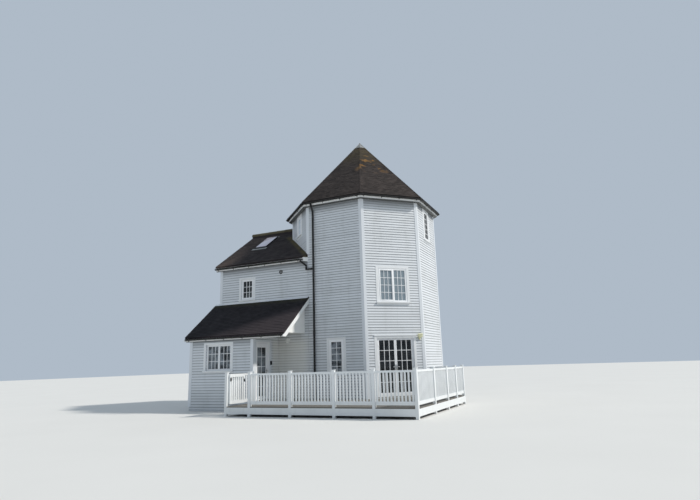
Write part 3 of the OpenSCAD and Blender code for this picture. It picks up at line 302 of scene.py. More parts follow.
@dataclass(frozen=True)
class Patch:
    """A stain, a patch of other paint, a painted reflection or a painted patch of light or shade, that grows
    between limits along directions.
    """

    colour: Colour
    limits: tuple[tuple[Point, float, float], ...]
    amount: float = 0.8
    cover: tuple[float, float] = (-1.0, 0.0)
    size: float = 3.5
    reach: tuple[float, float] | None = None

    def mask(self, graph: Graph) -> Value:
        """How much of the patch shows.

        Args:
            graph: The material that it grows on.

        Returns:
            A share from 0 to 1.
        """
        share = graph.noise(self.size, 6).ramp(*self.cover) * self.amount
        for direction, low, high in self.limits:
            share = share * graph.along(direction).ramp(low, high)
        if self.reach:
            share = share * graph.reach().ramp(*self.reach)
        return share


@dataclass(frozen=True)
class BrushedPaint(Finish):
    """Paint on timber, with the grain, the rain's streaks and the dirt that it gathers, and painted shade
    under each board's lap where asked.
    """

    colour: Colour
    dirt: Colour = paint(126, 128, 118)
    soil: float = 0.3
    gloss: float = 0.45
    upright: bool = False
    painted_lap_shade: float = 0.0
    patches: tuple[Patch, ...] = ()

    def shade(self, graph: Graph) -> bpy.types.Material:
        """Builds the material's nodes.

        Args:
            graph: The empty material.

        Returns:
            The finished material.
        """
        grain = graph.noise(9, 5, (12, 12, 0.6) if self.upright else (0.6, 0.6, 12))
        streaks = graph.noise(5, 3, (1, 1, 0.12)).ramp(0.5, 0.8)
        clouds = graph.noise(1.1, 5).ramp(0.42, 0.75)
        height = graph.along(UP)
        splash = height.ramp(1.2, 0.1)
        soil = (streaks * 0.4 + clouds * 0.35 + splash * 0.5 + graph.tone() * 0.3) * self.soil
        colour = graph.mix(soil, self.colour, self.dirt)
        # Painted shade: the top of each board's face, just under the lap of the board above, is darkened as
        # if in that lap's shadow.
        if self.painted_lap_shade:
            row = (height - GROUND_LINE) * (1 / BOARD_GAUGE)
            colour = graph.mix(row.maths("FRACT", row).ramp(0.6, 0.98) * self.painted_lap_shade, colour, paint(80, 84, 90))
        for patch in self.patches:
            colour = graph.mix(patch.mask(graph), colour, patch.colour)
        rough = grain * 0.2 + soil * 0.3 + self.gloss
        return graph.surface(Base_Color=colour, Roughness=rough, Normal=graph.bump(grain, 0.0015))


@dataclass(frozen=True)
class PlainTiles(Finish):
    """Dark clay plain tiles that differ from one to the next, with moss and lichen."""

    dark: Colour
    light: Colour
    patches: tuple[Patch, ...]

    def shade(self, graph: Graph) -> bpy.types.Material:
        """Builds the material's nodes.

        Args:
            graph: The empty material.

        Returns:
            The finished material.
        """
        tone = graph.tone()
        grit = graph.noise(60, 4)
        weather = graph.noise(1.3, 5).ramp(0.3, 0.7)
        colour = graph.mix(tone * 0.6 + weather * 0.3 + grit * 0.2, self.dark, self.light)
        spots = graph.noise(24, 3).ramp(0.66, 0.74) * weather
        colour = graph.mix(spots * 0.3, colour, paint(112, 108, 96))
        for patch in self.patches:
            colour = graph.mix(patch.mask(graph), colour, patch.colour)
        rough = 0.78 + grit * 0.15
        normal = graph.bump(grit, 0.003)
        return graph.surface(Base_Color=colour, Roughness=rough, Normal=normal, Specular_IOR_Level=0.25)


@dataclass(frozen=True)
class SheetLead(Finish):
    """Weathered sheet lead, pale with darker runs."""

    colour: Colour = paint(158, 159, 158)

    def shade(self, graph: Graph) -> bpy.types.Material:
        """Builds the material's nodes.

        Args:
            graph: The empty material.

        Returns:
            The finished material.
        """
        clouds = graph.noise(6, 5)
        runs = graph.noise(14, 3, (1, 1, 0.15)).ramp(0.45, 0.75)
        colour = graph.mix(runs * 0.5 + clouds * 0.3, self.colour, paint(92, 93, 94))
        dents = graph.noise(9, 2)
        rough = 0.45 + clouds * 0.25
        normal = graph.bump(dents, 0.004)
        return graph.surface(Base_Color=colour, Roughness=rough, Metallic=0.35, Normal=normal)


@dataclass(frozen=True)
class Moulded(Finish):
    """Moulded plastic or coated metal with a fine texture and dust on it."""

    colour: Colour
    dust: Colour = paint(120, 120, 116)
    gloss: float = 0.3
    metal: float = 0.0

    def shade(self, graph: Graph) -> bpy.types.Material:
        """Builds the material's nodes.

        Args:
            graph: The empty material.

        Returns:
            The finished material.
        """
        dust = graph.noise(7, 5).ramp(0.4, 0.8) * 0.1
        skin = graph.noise(120, 2)
        colour = graph.mix(dust, self.colour, self.dust)
        rough = dust + self.gloss
        return graph.surface(
            Base_Color=colour, Roughness=rough, Metallic=self.metal, Normal=graph.bump(skin, 0.0004)
        )


@dataclass(frozen=True)
class BareTimber(Finish):
    """Bare boards whose grain runs along one axis, weathered or oiled."""

    dark: Colour
    light: Colour
    grain: tuple[float, float, float] = (0.5, 10, 10)

    def shade(self, graph: Graph) -> bpy.types.Material:
        """Builds the material's nodes.

        Args:
            graph: The empty material.

        Returns:
            The finished material.
        """
        fibres = graph.noise(10, 6, self.grain)
        clouds = graph.noise(2, 4)
        colour = graph.mix(fibres * 0.6 + graph.tone() * 0.4 + clouds * 0.2, self.dark, self.light)
        rough = 0.65 + fibres * 0.25
        return graph.surface(Base_Color=colour, Roughness=rough, Normal=graph.bump(fibres, 0.003))


@dataclass(frozen=True)
class CastConcrete(Finish):
    """Cast concrete with pores and damp clouds."""

    colour: Colour = paint(158, 155, 148)

    def shade(self, graph: Graph) -> bpy.types.Material:
        """Builds the material's nodes.

        Args:
            graph: The empty material.

        Returns:
            The finished material.
        """
        clouds = graph.noise(1.6, 6)
        pores = graph.noise(70, 3)
        colour = graph.mix(clouds * 0.7 + pores * 0.2, self.colour, paint(112, 110, 104))
        return graph.surface(Base_Color=colour, Roughness=0.7 + clouds * 0.2, Normal=graph.bump(pores, 0.003))


@dataclass(frozen=True)
class Glazing(Finish):
    """Clear glass over a dark room, with a faint film of dust and what it mirrors of sky and trees."""

    tint: Colour = paint(20, 24, 27)
    clear: float = 0.5
    mirrored: tuple[Patch, ...] = ()

    def shade(self, graph: Graph) -> bpy.types.Material:
        """Builds the material's nodes.

        Args:
            graph: The empty material.

        Returns:
            The finished material.
        """
        film = graph.noise(3, 4).ramp(0.4, 0.8)
        colour = graph.mix(film * 0.15, self.tint, paint(120, 126, 130))
        alpha = film * 0.12 + (1 - self.clear)
        for patch in self.mirrored:
            share = patch.mask(graph)
            colour = graph.mix(share, colour, patch.colour)
            alpha = alpha + share * self.clear
        return graph.surface(
            Base_Color=colour, Roughness=0.04 + film * 0.05, Alpha=alpha, IOR=1.5, Specular_IOR_Level=0.6
        )


X, Y = Vector((1, 0, 0)), Vector((0, 1, 0))
AWAY_FROM_VALLEY = Vector((-1, -1, 0)).normalized()
BOARD_COLOUR = paint(218, 222, 226)
EAVES_SHADE = paint(104, 107, 110)
PORCH_BOUNCE_LIGHT = paint(248, 244, 230)
SHADE = paint(84, 85, 84)
WHITE_BOARDS = BrushedPaint(
    "board paint",
    BOARD_COLOUR,
    painted_lap_shade=0.7,
    patches=(
        # Painted shade: the boards darken towards the tower's, the wing's and the lean-to's eaves, where the
        # overhangs shade them.
        Patch(EAVES_SHADE, ((UP, 7.45, 7.80),), 0.7),
        Patch(EAVES_SHADE, ((UP, 5.28, 5.57), (UP, 5.62, 5.60), (X, -1.19, -1.21)), 0.6),
        Patch(EAVES_SHADE, ((UP, 2.25, 2.54), (UP, 2.60, 2.58), (Y, -4.5, -4.55)), 0.5),
        # Painted light: a warm, lighter patch on the wall under the porch stands in for the light that
        # bounces in there.
        Patch(PORCH_BOUNCE_LIGHT, ((X, -2.7, -2.5), (X, -0.95, -1.5), (Y, -3.5, -3.2), (Y, -2.6, -2.7),
                           (UP, 2.75, 2.3)), 0.4),
    ),
)
WHITE_TRIM = BrushedPaint("surround paint", paint(230, 232, 233), soil=0.15, gloss=0.35, upright=True,
                          patches=(
    Patch(BOARD_COLOUR, ((X, -3.2, -3.1),), 1.0, reach=(3.06, 3.08)),
    Patch(BOARD_COLOUR, ((X, -5.2, -5.25), (Y, -2.4, -2.5)), 1.0),
    Patch(BOARD_COLOUR, ((X, -5.2, -5.25), (Y, 1.9, 2.0)), 1.0),
))
WHITE_EAVES = BrushedPaint("eaves paint", paint(240, 241, 240), soil=0.2, gloss=0.4, patches=(
    Patch(SHADE, ((UP, 7.75, 7.76), (UP, 7.822, 7.818)), 0.95),
    Patch(SHADE, ((UP, 5.50, 5.51), (UP, 5.588, 5.583)), 0.95),
    Patch(SHADE, ((UP, 2.572, 2.567),), 0.95),
))
WHITE_JOINERY = BrushedPaint("joinery paint", paint(244, 245, 246), soil=0.06, gloss=0.22, upright=True)
WHITE_FENCE = BrushedPaint("fence paint", paint(232, 235, 236), soil=0.25, gloss=0.4, upright=True)
# Painted light: the porch's ceiling and cheek are painted paler than the other white trims, for the bright
# light that reaches them.
PORCH_WHITE_LIT = BrushedPaint("porch paint", paint(250, 250, 246), soil=0.08, gloss=0.4)
CONCRETE = CastConcrete("cast concrete")
FLOOR_BOARDS = BareTimber("oiled floorboards", paint(122, 90, 60), paint(176, 136, 96))
# The deck's boards are grey, and are darkened further as painted shade for the shadow that the fence and
# shrubs cast on them.
SHADED_GREY_DECK = BareTimber("grey deck with painted shade", paint(76, 74, 70), paint(122, 119, 112))
LEAD = SheetLead("sheet lead")
BLACK = Moulded("black rainwater plastic", paint(10, 10, 12), gloss=0.55)
BLACK_IRON = Moulded("black iron", paint(14, 14, 15), gloss=0.5, metal=0.3)
CREAM = Moulded("cream moulding", paint(240, 238, 196), paint(190, 184, 158), gloss=0.35)
WHITE_LAMP = Moulded("white moulding", paint(240, 241, 238), paint(190, 190, 184), gloss=0.35)
GREY_METAL = Moulded("grey coated metal", paint(38, 38, 40), gloss=0.5, metal=0.2)
STEEL = Moulded("satin steel", paint(190, 190, 188), paint(140, 140, 136), gloss=0.25, metal=0.9)
GLASS = Glazing(
    "window glass",
    mirrored=(
        Patch(paint(152, 160, 167), ((UP, 2.6, 2.5), (X, 1.0, 0.5)), 0.75, (0.35, 0.6), 2.4),
        Patch(paint(104, 108, 108), ((UP, 4.2, 4.3), (UP, 5.3, 5.2), (X, -3.0, -3.4)), 0.6, (0.35, 0.6), 3.0),
        Patch(paint(131, 144, 152), ((UP, 3.6, 3.7), (UP, 5.3, 5.2), (X, 0.5, 1.0)), 0.95),
        Patch(paint(206, 218, 228), ((UP, 6.6, 6.8), (X, -0.8, -1.2)), 0.95),
    ),
)
# Painted reflection: the skylight's pane is pale and nearly opaque, standing for the bright sky that it
# mirrors.
SKY_REFLECTION_GLASS = Glazing("skylight glass", paint(214, 208, 220), 0.05)
RIDGE_TILES = PlainTiles("ridge tiles", paint(66, 60, 48), paint(104, 98, 80), ())
TOWER_TILES = PlainTiles(
    "tower tiles",
    paint(42, 38, 37),
    paint(72, 65, 62),
    (
        Patch(paint(84, 76, 56), ((UP, 9.6, 11.0),), 0.7, (0.25, 0.55)),
        Patch(paint(158, 118, 66), ((UP, 9.2, 9.9), (UP, 10.9, 10.5), (X, 0.35, 0.7)), 0.6,
              (0.56, 0.63), 2.6),
    ),
)
WING_TILES = PlainTiles(
    "wing tiles",
    paint(40, 36, 38),
    paint(66, 61, 61),
    (
        Patch(paint(106, 98, 66), ((AWAY_FROM_VALLEY, 3.14, 2.98), (UP, 7.4, 7.1), (Y, -0.4, -0.8)), 0.6,
              (0.3, 0.5)),
        Patch(paint(96, 84, 78), ((X, -4.3, -5.5), (UP, 7.2, 5.9)), 0.7, (0.2, 0.6), 1.5),
    ),
)
LEAN_TILES = PlainTiles(
    "lean-to tiles",
    paint(30, 28, 32),
    paint(50, 48, 51),
    (
        Patch(paint(60, 60, 48), ((UP, 3.9, 4.08),), 0.7, (0.2, 0.5)),
        # Painted light: the lower right of the lean-to roof is painted lighter, where the sun falls past the
        # tower's shadow.
        Patch(paint(70, 63, 65), ((Vector((0.294, 0, -1)), -4.25, -3.95),), 0.75, (0.1, 0.5), 1.2),
    ),
)

CAD_FINISHES: dict[Slot, Finish] = {
    Slot.BOARDS: WHITE_BOARDS,
    Slot.CONCRETE: CONCRETE,
    Slot.FLOORS: FLOOR_BOARDS,
    Slot.TILES: TOWER_TILES,
    Slot.LEAD: LEAD,
    Slot.TRIM: WHITE_TRIM,
    Slot.GUTTER: BLACK,
    Slot.SKYLIGHT: GREY_METAL,
    Slot.JOINERY: WHITE_JOINERY,
    Slot.GLASS: GLASS,
    Slot.DECK: SHADED_GREY_DECK,
    Slot.FENCE: WHITE_FENCE,
    Slot.LAMP: CREAM,
}
OWN_FINISHES: dict[str, Finish] = {
    "wing_roof_front": WING_TILES,
    "wing_roof_back": WING_TILES,
    "wing_ridge": RIDGE_TILES,
    "tower_eaves": WHITE_EAVES,
    "wing_eaves": WHITE_EAVES,
    "lean_to_eaves": WHITE_EAVES,
    "lean_to_roof": LEAN_TILES,
    "porch_ceiling": PORCH_WHITE_LIT,
}


def dress_frame() -> None:
    """Gives every node of the frame the finish of its slot, or its own."""
    for part in frame["record"]["subparts"]:
        name = part["node"]
        finish = OWN_FINISHES.get(name) or CAD_FINISHES[Slot(part["material_slot"])]
        data = frame["nodes"][name].data
        data.materials.clear()
        data.materials.append(finish.material())
        LOG.info("%s: %s", name, finish.name)


# Modelling kit


def facing(turn: float, reach: float = 0.0, height: float = 0.0) -> Matrix:
    """Where a wall stands.

    Args:
        turn: The angle in degrees from the front to the side that the wall faces.
        reach: How far its plane is from the origin.
        height: How high its datum is.

    Returns:
        The place of what is drawn along X, outwards to -Y and up Z.
    """
    return Matrix.Rotation(math.radians(turn), 4, "Z") @ Matrix.Translation((0, -reach, height))


class Shape:
    """A piece under construction."""

    SHARP = math.radians(32)

    def __init__(self, name: str) -> None:
        """Starts an empty piece.

        Args:
            name: The piece's name, which also seeds its chance numbers.
        """
        self.name = name
        self.chance = random.Random(name)
        self.mesh = bmesh.new()
        self.tone = self.mesh.faces.layers.float.new("tone")

    def toned(self, verts: Iterable[bmesh.types.BMVert]) -> None:
        """Gives all faces on these vertices one chance number."""
        tone = self.chance.random()
        for vert in verts:
            for face in vert.link_faces:
                face[self.tone] = tone

    def box(self, low: Point, high: Point, place: Matrix = STILL, bevel: float = 0.0) -> None:
        """Adds a box.

        Args:
            low: Its lowest corner.
            high: Its highest corner.
            place: Where it is put.
            bevel: The width of its bevelled edges.
        """
        size = [b - a for a, b in zip(low, high)]
        middle = [(a + b) / 2 for a, b in zip(low, high)]
        matrix = place @ Matrix.Translation(middle) @ Matrix.Diagonal((*size, 1))
        verts = bmesh.ops.create_cube(self.mesh, size=1, matrix=matrix)["verts"]
        self.toned(verts)
        if bevel:
            edges = list({edge for vert in verts for edge in vert.link_edges})
            bmesh.ops.bevel(
                self.mesh, geom=edges, offset=bevel, segments=2, profile=0.5, affect="EDGES", material=-1
            )

    def board(self, span: tuple[float, float], rise: tuple[float, float], depths: tuple[float, float],
              place: Matrix) -> None:
        """Adds a feather-edged board that stands out towards -Y.

        Args:
            span: Its two ends along X.
            rise: Its lower and upper edges.
            depths: Its thickness at those edges.
            place: Where it is put.
        """
        size = (span[1] - span[0], 1, rise[1] - rise[0])
        middle = Matrix.Translation((sum(span) / 2, -0.5, sum(rise) / 2))
        verts = bmesh.ops.create_cube(self.mesh, size=1, matrix=middle @ Matrix.Diagonal((*size, 1)))["verts"]
        for vert in verts:
            vert.co.y *= depths[vert.co.z > sum(rise) / 2]
        bmesh.ops.transform(self.mesh, matrix=place, verts=verts)
        self.toned(verts)

    def bar(self, start: Point, end: Point, up: Point, width: float, depth: float) -> None:
        """Adds a straight bar between two points.

        Args:
            start: The middle of one end.
            end: The middle of the other end.
            up: The direction that its depth is measured in.
            width: Its width.
            depth: Its depth.
        """
        along = Vector(end) - Vector(start)
        side = Vector(up).cross(along).normalized()
        lift = along.cross(side).normalized()
        turn = Matrix((along.normalized(), side, lift)).transposed().to_4x4()
        place = Matrix.Translation((Vector(start) + Vector(end)) / 2) @ turn
        half = (along.length / 2, width / 2, depth / 2)
        self.box([-part for part in half], half, place)

    def rod(self, start: Point, end: Point, radius: float, place: Matrix = STILL,
            end_radius: float | None = None, steps: int = 16) -> None:
        """Adds a round bar between two points.

        Args:
            start: The middle of one end.
            end: The middle of the other end.
            radius: Its radius at the start.
            place: Where it is put.
            end_radius: Its radius at the end, if that differs.
            steps: The number of its sides.
        """
        along = Vector(end) - Vector(start)
        turn = along.to_track_quat("Z", "Y").to_matrix().to_4x4()
        matrix = place @ Matrix.Translation((Vector(start) + Vector(end)) / 2) @ turn
        far_radius = radius if end_radius is None else end_radius
        made = bmesh.ops.create_cone(
            self.mesh, cap_ends=True, segments=steps, radius1=radius, radius2=far_radius,
            depth=along.length, matrix=matrix,
        )
        self.toned(made["verts"])

    def turned(self, profile: Sequence[Point], place: Matrix, angle: float = 2 * math.pi,
               steps: int = 24) -> None:
        """Adds a shape spun about the vertical.

        Args:
            profile: Its outline as radius and height, open for a full turn and closed for part of one.
            place: Where it is put.
            angle: How far it is spun.
            steps: The number of its sides.
        """
        full = angle > 6.28
        spun = bmesh.new()
        spun.faces.layers.float.new("tone")
        verts = [spun.verts.new((radius, 0, height)) for radius, height in profile]
        pairs = zip(verts, verts[1:] if full else verts[1:] + verts[:1])
        edges = [spun.edges.new(pair) for pair in pairs]
        bmesh.ops.spin(spun, geom=verts + edges, axis=(0, 0, 1), cent=(0, 0, 0), angle=angle, steps=steps,
                       use_merge=full)
        bmesh.ops.remove_doubles(spun, verts=spun.verts, dist=1e-6)
        bmesh.ops.holes_fill(spun, edges=[edge for edge in spun.edges if edge.is_boundary], sides=0)
        bmesh.ops.recalc_face_normals(spun, faces=spun.faces)
        bmesh.ops.transform(spun, matrix=place, verts=spun.verts)
        self.take(spun)

    def take(self, other: bmesh.types.BMesh) -> None:
        """Moves another mesh's shapes into this piece."""
        carrier = bpy.data.meshes.new("carrier")
        other.to_mesh(carrier)
        other.free()
        self.mesh.from_mesh(carrier)
        bpy.data.meshes.remove(carrier)

    def cut(self, planes: Iterable[Plane]) -> None:
        """Cuts away what lies beyond planes and closes the cuts.

        Args:
            planes: A point and the outward normal of each plane.
        """
        for point, normal in planes:
            geometry = [*self.mesh.verts, *self.mesh.edges, *self.mesh.faces]
            bmesh.ops.bisect_plane(
                self.mesh, geom=geometry, dist=1e-5, plane_co=point, plane_no=normal, clear_outer=True
            )
            rims = [edge for edge in self.mesh.edges if edge.is_boundary]
            bmesh.ops.holes_fill(self.mesh, edges=rims, sides=0)

    def done(self, finish: Finish, slot: Slot, body: Body = Body.HOUSE, *replaced: str) -> bpy.types.Object:
        """Finishes the piece and puts it on its body.

        Args:
            finish: What it is dressed with.
            slot: The record's slot for that finish; not used.
            body: What it rides on.
            replaced: The frame's nodes that it stands for.

        Returns:
            The piece.
        """
        bmesh.ops.recalc_face_normals(self.mesh, faces=self.mesh.faces)
        for face in self.mesh.faces:
            face.smooth = True
        for edge in self.mesh.edges:
            edge.smooth = edge.calc_face_angle(0.0) < self.SHARP
        data = bpy.data.meshes.new(self.name)
        self.mesh.to_mesh(data)
        self.mesh.free()
        data.materials.append(finish.material())
        piece = bpy.data.objects.new(self.name, data)
        bpy.context.scene.collection.objects.link(piece)
        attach(piece, body.value)
        if replaced:
            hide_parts(*replaced)
        triangles = sum(len(polygon.vertices) - 2 for polygon in data.polygons)
        LOG.info("%s: %d triangles on %s", self.name, triangles, body.value)
        return piece


# Openings


class Style(Enum):
    """How an opening is filled."""

    CASEMENT = "one opening light"
    CASEMENTS = "two opening lights"
    SASH_AND_FIXED = "an opening light beside a fixed one"
    DOOR = "a door"


@dataclass(frozen=True)
class Opening:
    """A window or a door in a wall, placed along the wall from the foot of the origin."""

    name: str
    turn: float
    reach: float
    middle: float
    width: float
    sill: float
    head: float
    style: Style
    columns: int = 2
    rows: int = 5
    face: float = -0.015
    sash: float = 0.028
    mullion: float = 0.0

    def place(self) -> Matrix:
        """Where the opening's own middle line stands at ground level."""
        return facing(self.turn, self.reach) @ Matrix.Translation((self.middle, 0, 0))


NARROW_WIDTH = 0.60
SMALL_WINDOW = (0.61, 4.27, 5.13)
WING_WINDOW = 4.087
WIDE_LOW_WINDOW = (1.17, 1.447, 2.413)
LEAN_WINDOW = 4.117
OPENINGS = (
    *(
        Opening(f"{side}_ground", turn, TOWER_FACE, 0, NARROW_WIDTH, 1.17, DOOR_HEAD, Style.CASEMENT)
        for side, turn in (("front", 0), ("back", 180))
    ),
    *(
        Opening(f"{side}_top", turn, TOWER_FACE, 0, NARROW_WIDTH, 6.47, TOP_HEAD, Style.CASEMENT)
        for side, turn in (("right", 90), ("back", 180))
    ),
    *(
        Opening(f"{side}_left_top", turn, TOWER_FACE, 0, NARROW_WIDTH, 6.895, TOP_HEAD, Style.CASEMENT, 2, 3)
        for side, turn in (("front", 315), ("back", 225))
    ),
    *(
        Opening(f"wide_{side}", turn, TOWER_FACE, 0, 1.184, 3.793, 5.087, Style.SASH_AND_FIXED, 3, 4,
                mullion=0.03)
        for side, turn in (("front", 45), ("back", 135))
    ),
    Opening("wing_front", 0, TOWER_FACE, -WING_WINDOW, *SMALL_WINDOW, Style.CASEMENT, 3, 3, 0.015),
    Opening("wing_back_small", 180, BACK_FACE, WING_WINDOW, *SMALL_WINDOW, Style.CASEMENT, 3, 3, 0.015),
    Opening("gable", -90, GABLE_FACE, 0.32, *SMALL_WINDOW, Style.CASEMENT, 3, 3, 0.015),
    Opening("lean_to", 0, LEAN_FACE, -LEAN_WINDOW, *WIDE_LOW_WINDOW, Style.CASEMENTS, 3, 3, 0.04, 0.01),
    Opening("wing_back_wide", 180, BACK_FACE, LEAN_WINDOW, *WIDE_LOW_WINDOW, Style.CASEMENTS, 3, 3, 0.04,
            0.01),
    Opening("front_door", 90, -PORCH_FACE, -3.99, 0.90, FLOOR, DOOR_HEAD, Style.DOOR),
    Opening("french_doors", 45, TOWER_FACE, 0, 1.50, FLOOR, DOOR_HEAD, Style.DOOR),
)


@dataclass(frozen=True)
class Hole:
    """A gap in the boards or tiles, along them and up them."""

    left: float
    right: float
    low: float
    high: float


def spans(left: float, right: float, low: float, high: float,
          holes: Iterable[Hole]) -> list[tuple[float, float]]:
    """The stretches that no hole crosses.

    Args:
        left: Where the row starts.
        right: Where it ends.
        low: Its lower edge.
        high: Its upper edge.
        holes: The gaps.

    Returns:
        The ends of each stretch.
    """
    found = [(left, right)]
    for hole in holes:
        if hole.low < high and hole.high > low:
            parts = [part for a, b in found for part in ((a, min(b, hole.left)), (max(a, hole.right), b))]
            found = [(a, b) for a, b in parts if b - a > 0.012]
    return found


# Weatherboards


@dataclass(frozen=True)
class Wall:
    """One flat stretch of boarded wall."""

    name: str
    turn: float
    reach: float
    left: float
    right: float
    low: float
    high: float
    cuts: tuple[Plane, ...] = ()


WING_LEAN = math.radians(34.1)
LEAN_TO_LEAN = math.radians(38.3)
TOWER_LEAN = math.radians(48)
FRONT_SLOPE = Vector((0, -math.sin(WING_LEAN), math.cos(WING_LEAN)))
BACK_SLOPE = Vector((0, math.sin(WING_LEAN), math.cos(WING_LEAN)))
LEAN_SLOPE = Vector((0, -math.sin(LEAN_TO_LEAN), math.cos(LEAN_TO_LEAN)))
RIDGE = Vector((0, -0.32, 7.621))
LEAN_TOP = Vector((0, -2.90, 4.151))
UNDER_WING = (RIDGE - 0.14 * FRONT_SLOPE, FRONT_SLOPE), (RIDGE - 0.14 * BACK_SLOPE, BACK_SLOPE)
UNDER_LEAN_TO = ((LEAN_TOP - 0.14 * LEAN_SLOPE, LEAN_SLOPE),)
OVER_FRONT = ((RIDGE, -FRONT_SLOPE),)
OVER_BACK = ((RIDGE, -BACK_SLOPE),)
CORNER = TOWER_FACE * math.tan(EIGHTH) - 0.05
SOFFIT = 7.80


@dataclass(frozen=True)
class Weatherboards:
    """Feather-edged boards over every outer wall."""

    gauge: float = BOARD_GAUGE
    lap: float = 0.025
    thick: float = 0.027
    thin: float = 0.008
    trim_cover: float = 0.04
    walls: tuple[Wall, ...] = (
        *(
            Wall(f"boards_{side}", turn, TOWER_FACE, -CORNER, CORNER, GROUND_LINE, SOFFIT)
            for side, turn in (("front", 0), ("front_right", 45), ("right", 90), ("back_right", 135),
                               ("back", 180))
        ),
        Wall("boards_back_left", 225, TOWER_FACE, -CORNER, -0.30, GROUND_LINE, SOFFIT),
        Wall("boards_back_left_high", 225, TOWER_FACE, -0.30, CORNER, 5.55, SOFFIT, OVER_BACK),
        Wall("boards_left_front", 270, TOWER_FACE, 0.32, CORNER, 6.85, SOFFIT, OVER_FRONT),
        Wall("boards_left_back", 270, TOWER_FACE, -CORNER, 0.32, 6.45, SOFFIT, OVER_BACK),
        Wall("boards_front_left", 315, TOWER_FACE, -CORNER, CORNER, 5.75, SOFFIT, OVER_FRONT),
        Wall("boards_wing_front", 0, TOWER_FACE, -WING_END, -TOWER_CORNER, 4.05, 5.59),
        Wall("boards_porch_back", 0, TOWER_FACE, -PORCH_FACE, -TOWER_CORNER, GROUND_LINE, 2.76),
        Wall("boards_porch_side", 0, TOWER_FACE, -1.35, -TOWER_CORNER, 2.75, 3.96),
        Wall("boards_gable", -90, GABLE_FACE, -2.19, TOWER_FACE, GROUND_LINE, 7.5, UNDER_WING),
        Wall("boards_lean_to_left", -90, GABLE_FACE, TOWER_FACE, 4.55, GROUND_LINE, 4.0, UNDER_LEAN_TO),
        Wall("boards_wing_back", 180, BACK_FACE, 1.84, WING_END, GROUND_LINE, 5.59),
        Wall("boards_lean_to_front", 0, LEAN_FACE, -WING_END, -2.60, GROUND_LINE, 2.64),
        Wall("boards_lean_to_right", 90, -PORCH_FACE, -4.55, -TOWER_FACE, GROUND_LINE, 2.76),
    )

    def holes(self, wall: Wall) -> list[Hole]:
        """The gaps that the openings make in a wall.

        Args:
            wall: The wall.

        Returns:
            Its gaps.
        """
        over = self.trim_cover
        return [
            Hole(o.middle - o.width / 2 - over, o.middle + o.width / 2 + over, o.sill - over, o.head + over)
            for o in OPENINGS
            if (o.turn, o.reach) == (wall.turn, wall.reach) and wall.left < o.middle < wall.right
        ]

    def depth(self, up: float) -> float:
        """A board's thickness at a height above its lower edge."""
        return self.thick + (self.thin - self.thick) * up / (self.gauge + self.lap)

    def build_wall(self, wall: Wall) -> None:
        """Boards one wall.

        Args:
            wall: The wall.
        """
        shape = Shape(wall.name)
        place = facing(wall.turn, wall.reach)
        holes = self.holes(wall)
        row = math.floor((wall.low - GROUND_LINE) / self.gauge + 0.01)
        base = GROUND_LINE + row * self.gauge
        while base < wall.high - 0.01:
            top = min(base + self.gauge + self.lap, wall.high)
            low = max(base, wall.low)
            pieces = [(span, (low, top)) for span in spans(wall.left, wall.right, low, top, holes)]
            for hole in holes:
                sides = (hole.left, hole.right)
                if low < hole.low < top:
                    pieces.append((sides, (low, hole.low)))
                if low < hole.high < top:
                    pieces.append((sides, (hole.high, top)))
            for span, rise in pieces:
                depths = (self.depth(rise[0] - base), self.depth(rise[1] - base))
                shape.board(span, rise, depths, place)
            base += self.gauge
        shape.cut(wall.cuts)
        shape.done(WHITE_BOARDS, Slot.BOARDS)

    def build(self) -> None:
        """Boards every wall."""
        for wall in self.walls:
            self.build_wall(wall)


# Roofs


@dataclass(frozen=True)
class Slope:
    """One flat stretch of tiled roof, measured up from the middle of its eaves line."""

    name: str
    turn: float
    reach: float
    eaves: float
    lean: float
    left: float
    right: float
    start: float
    end: float
    finish: PlainTiles
    cuts: tuple[Plane, ...] = ()
    holes: tuple[Hole, ...] = ()

    def place(self) -> Matrix:
        """The plane of the roof, with Y up the slope."""
        return facing(self.turn, self.reach, self.eaves) @ Matrix.Rotation(self.lean, 4, "X")


def hips(turn: float) -> tuple[Plane, ...]:
    """The two upright planes at the hips of one tower side."""
    normals = [(math.cos(math.radians(turn) + side), math.sin(math.radians(turn) + side), 0)
               for side in (EIGHTH, math.pi - EIGHTH)]
    return tuple(((0, 0, 0), normal) for normal in normals)


EAVES_MITRE = ((-TOWER_CORNER, -TOWER_FACE, 0), (1, -1, 0))
FRONT_LEFT_FACE = ((-TOWER_CORNER - BOARD_DEPTH, -TOWER_FACE, 0), (1, 1, 0))
BACK_LEFT_FACE = ((-TOWER_CORNER - BOARD_DEPTH, TOWER_FACE, 0), (1, -1, 0))
LEFT_FACE = ((-2.905, 0, 0), (1, 0, 0))
WING_RUN = 2.746


def wing_rise(distance: float) -> float:
    """How far up the wing's slope a point lies that is this far in from the eaves."""
    return distance / math.cos(WING_LEAN)


SKYLIGHT_RISE = (wing_rise(WING_EDGE - 1.64), wing_rise(WING_EDGE - 0.70))


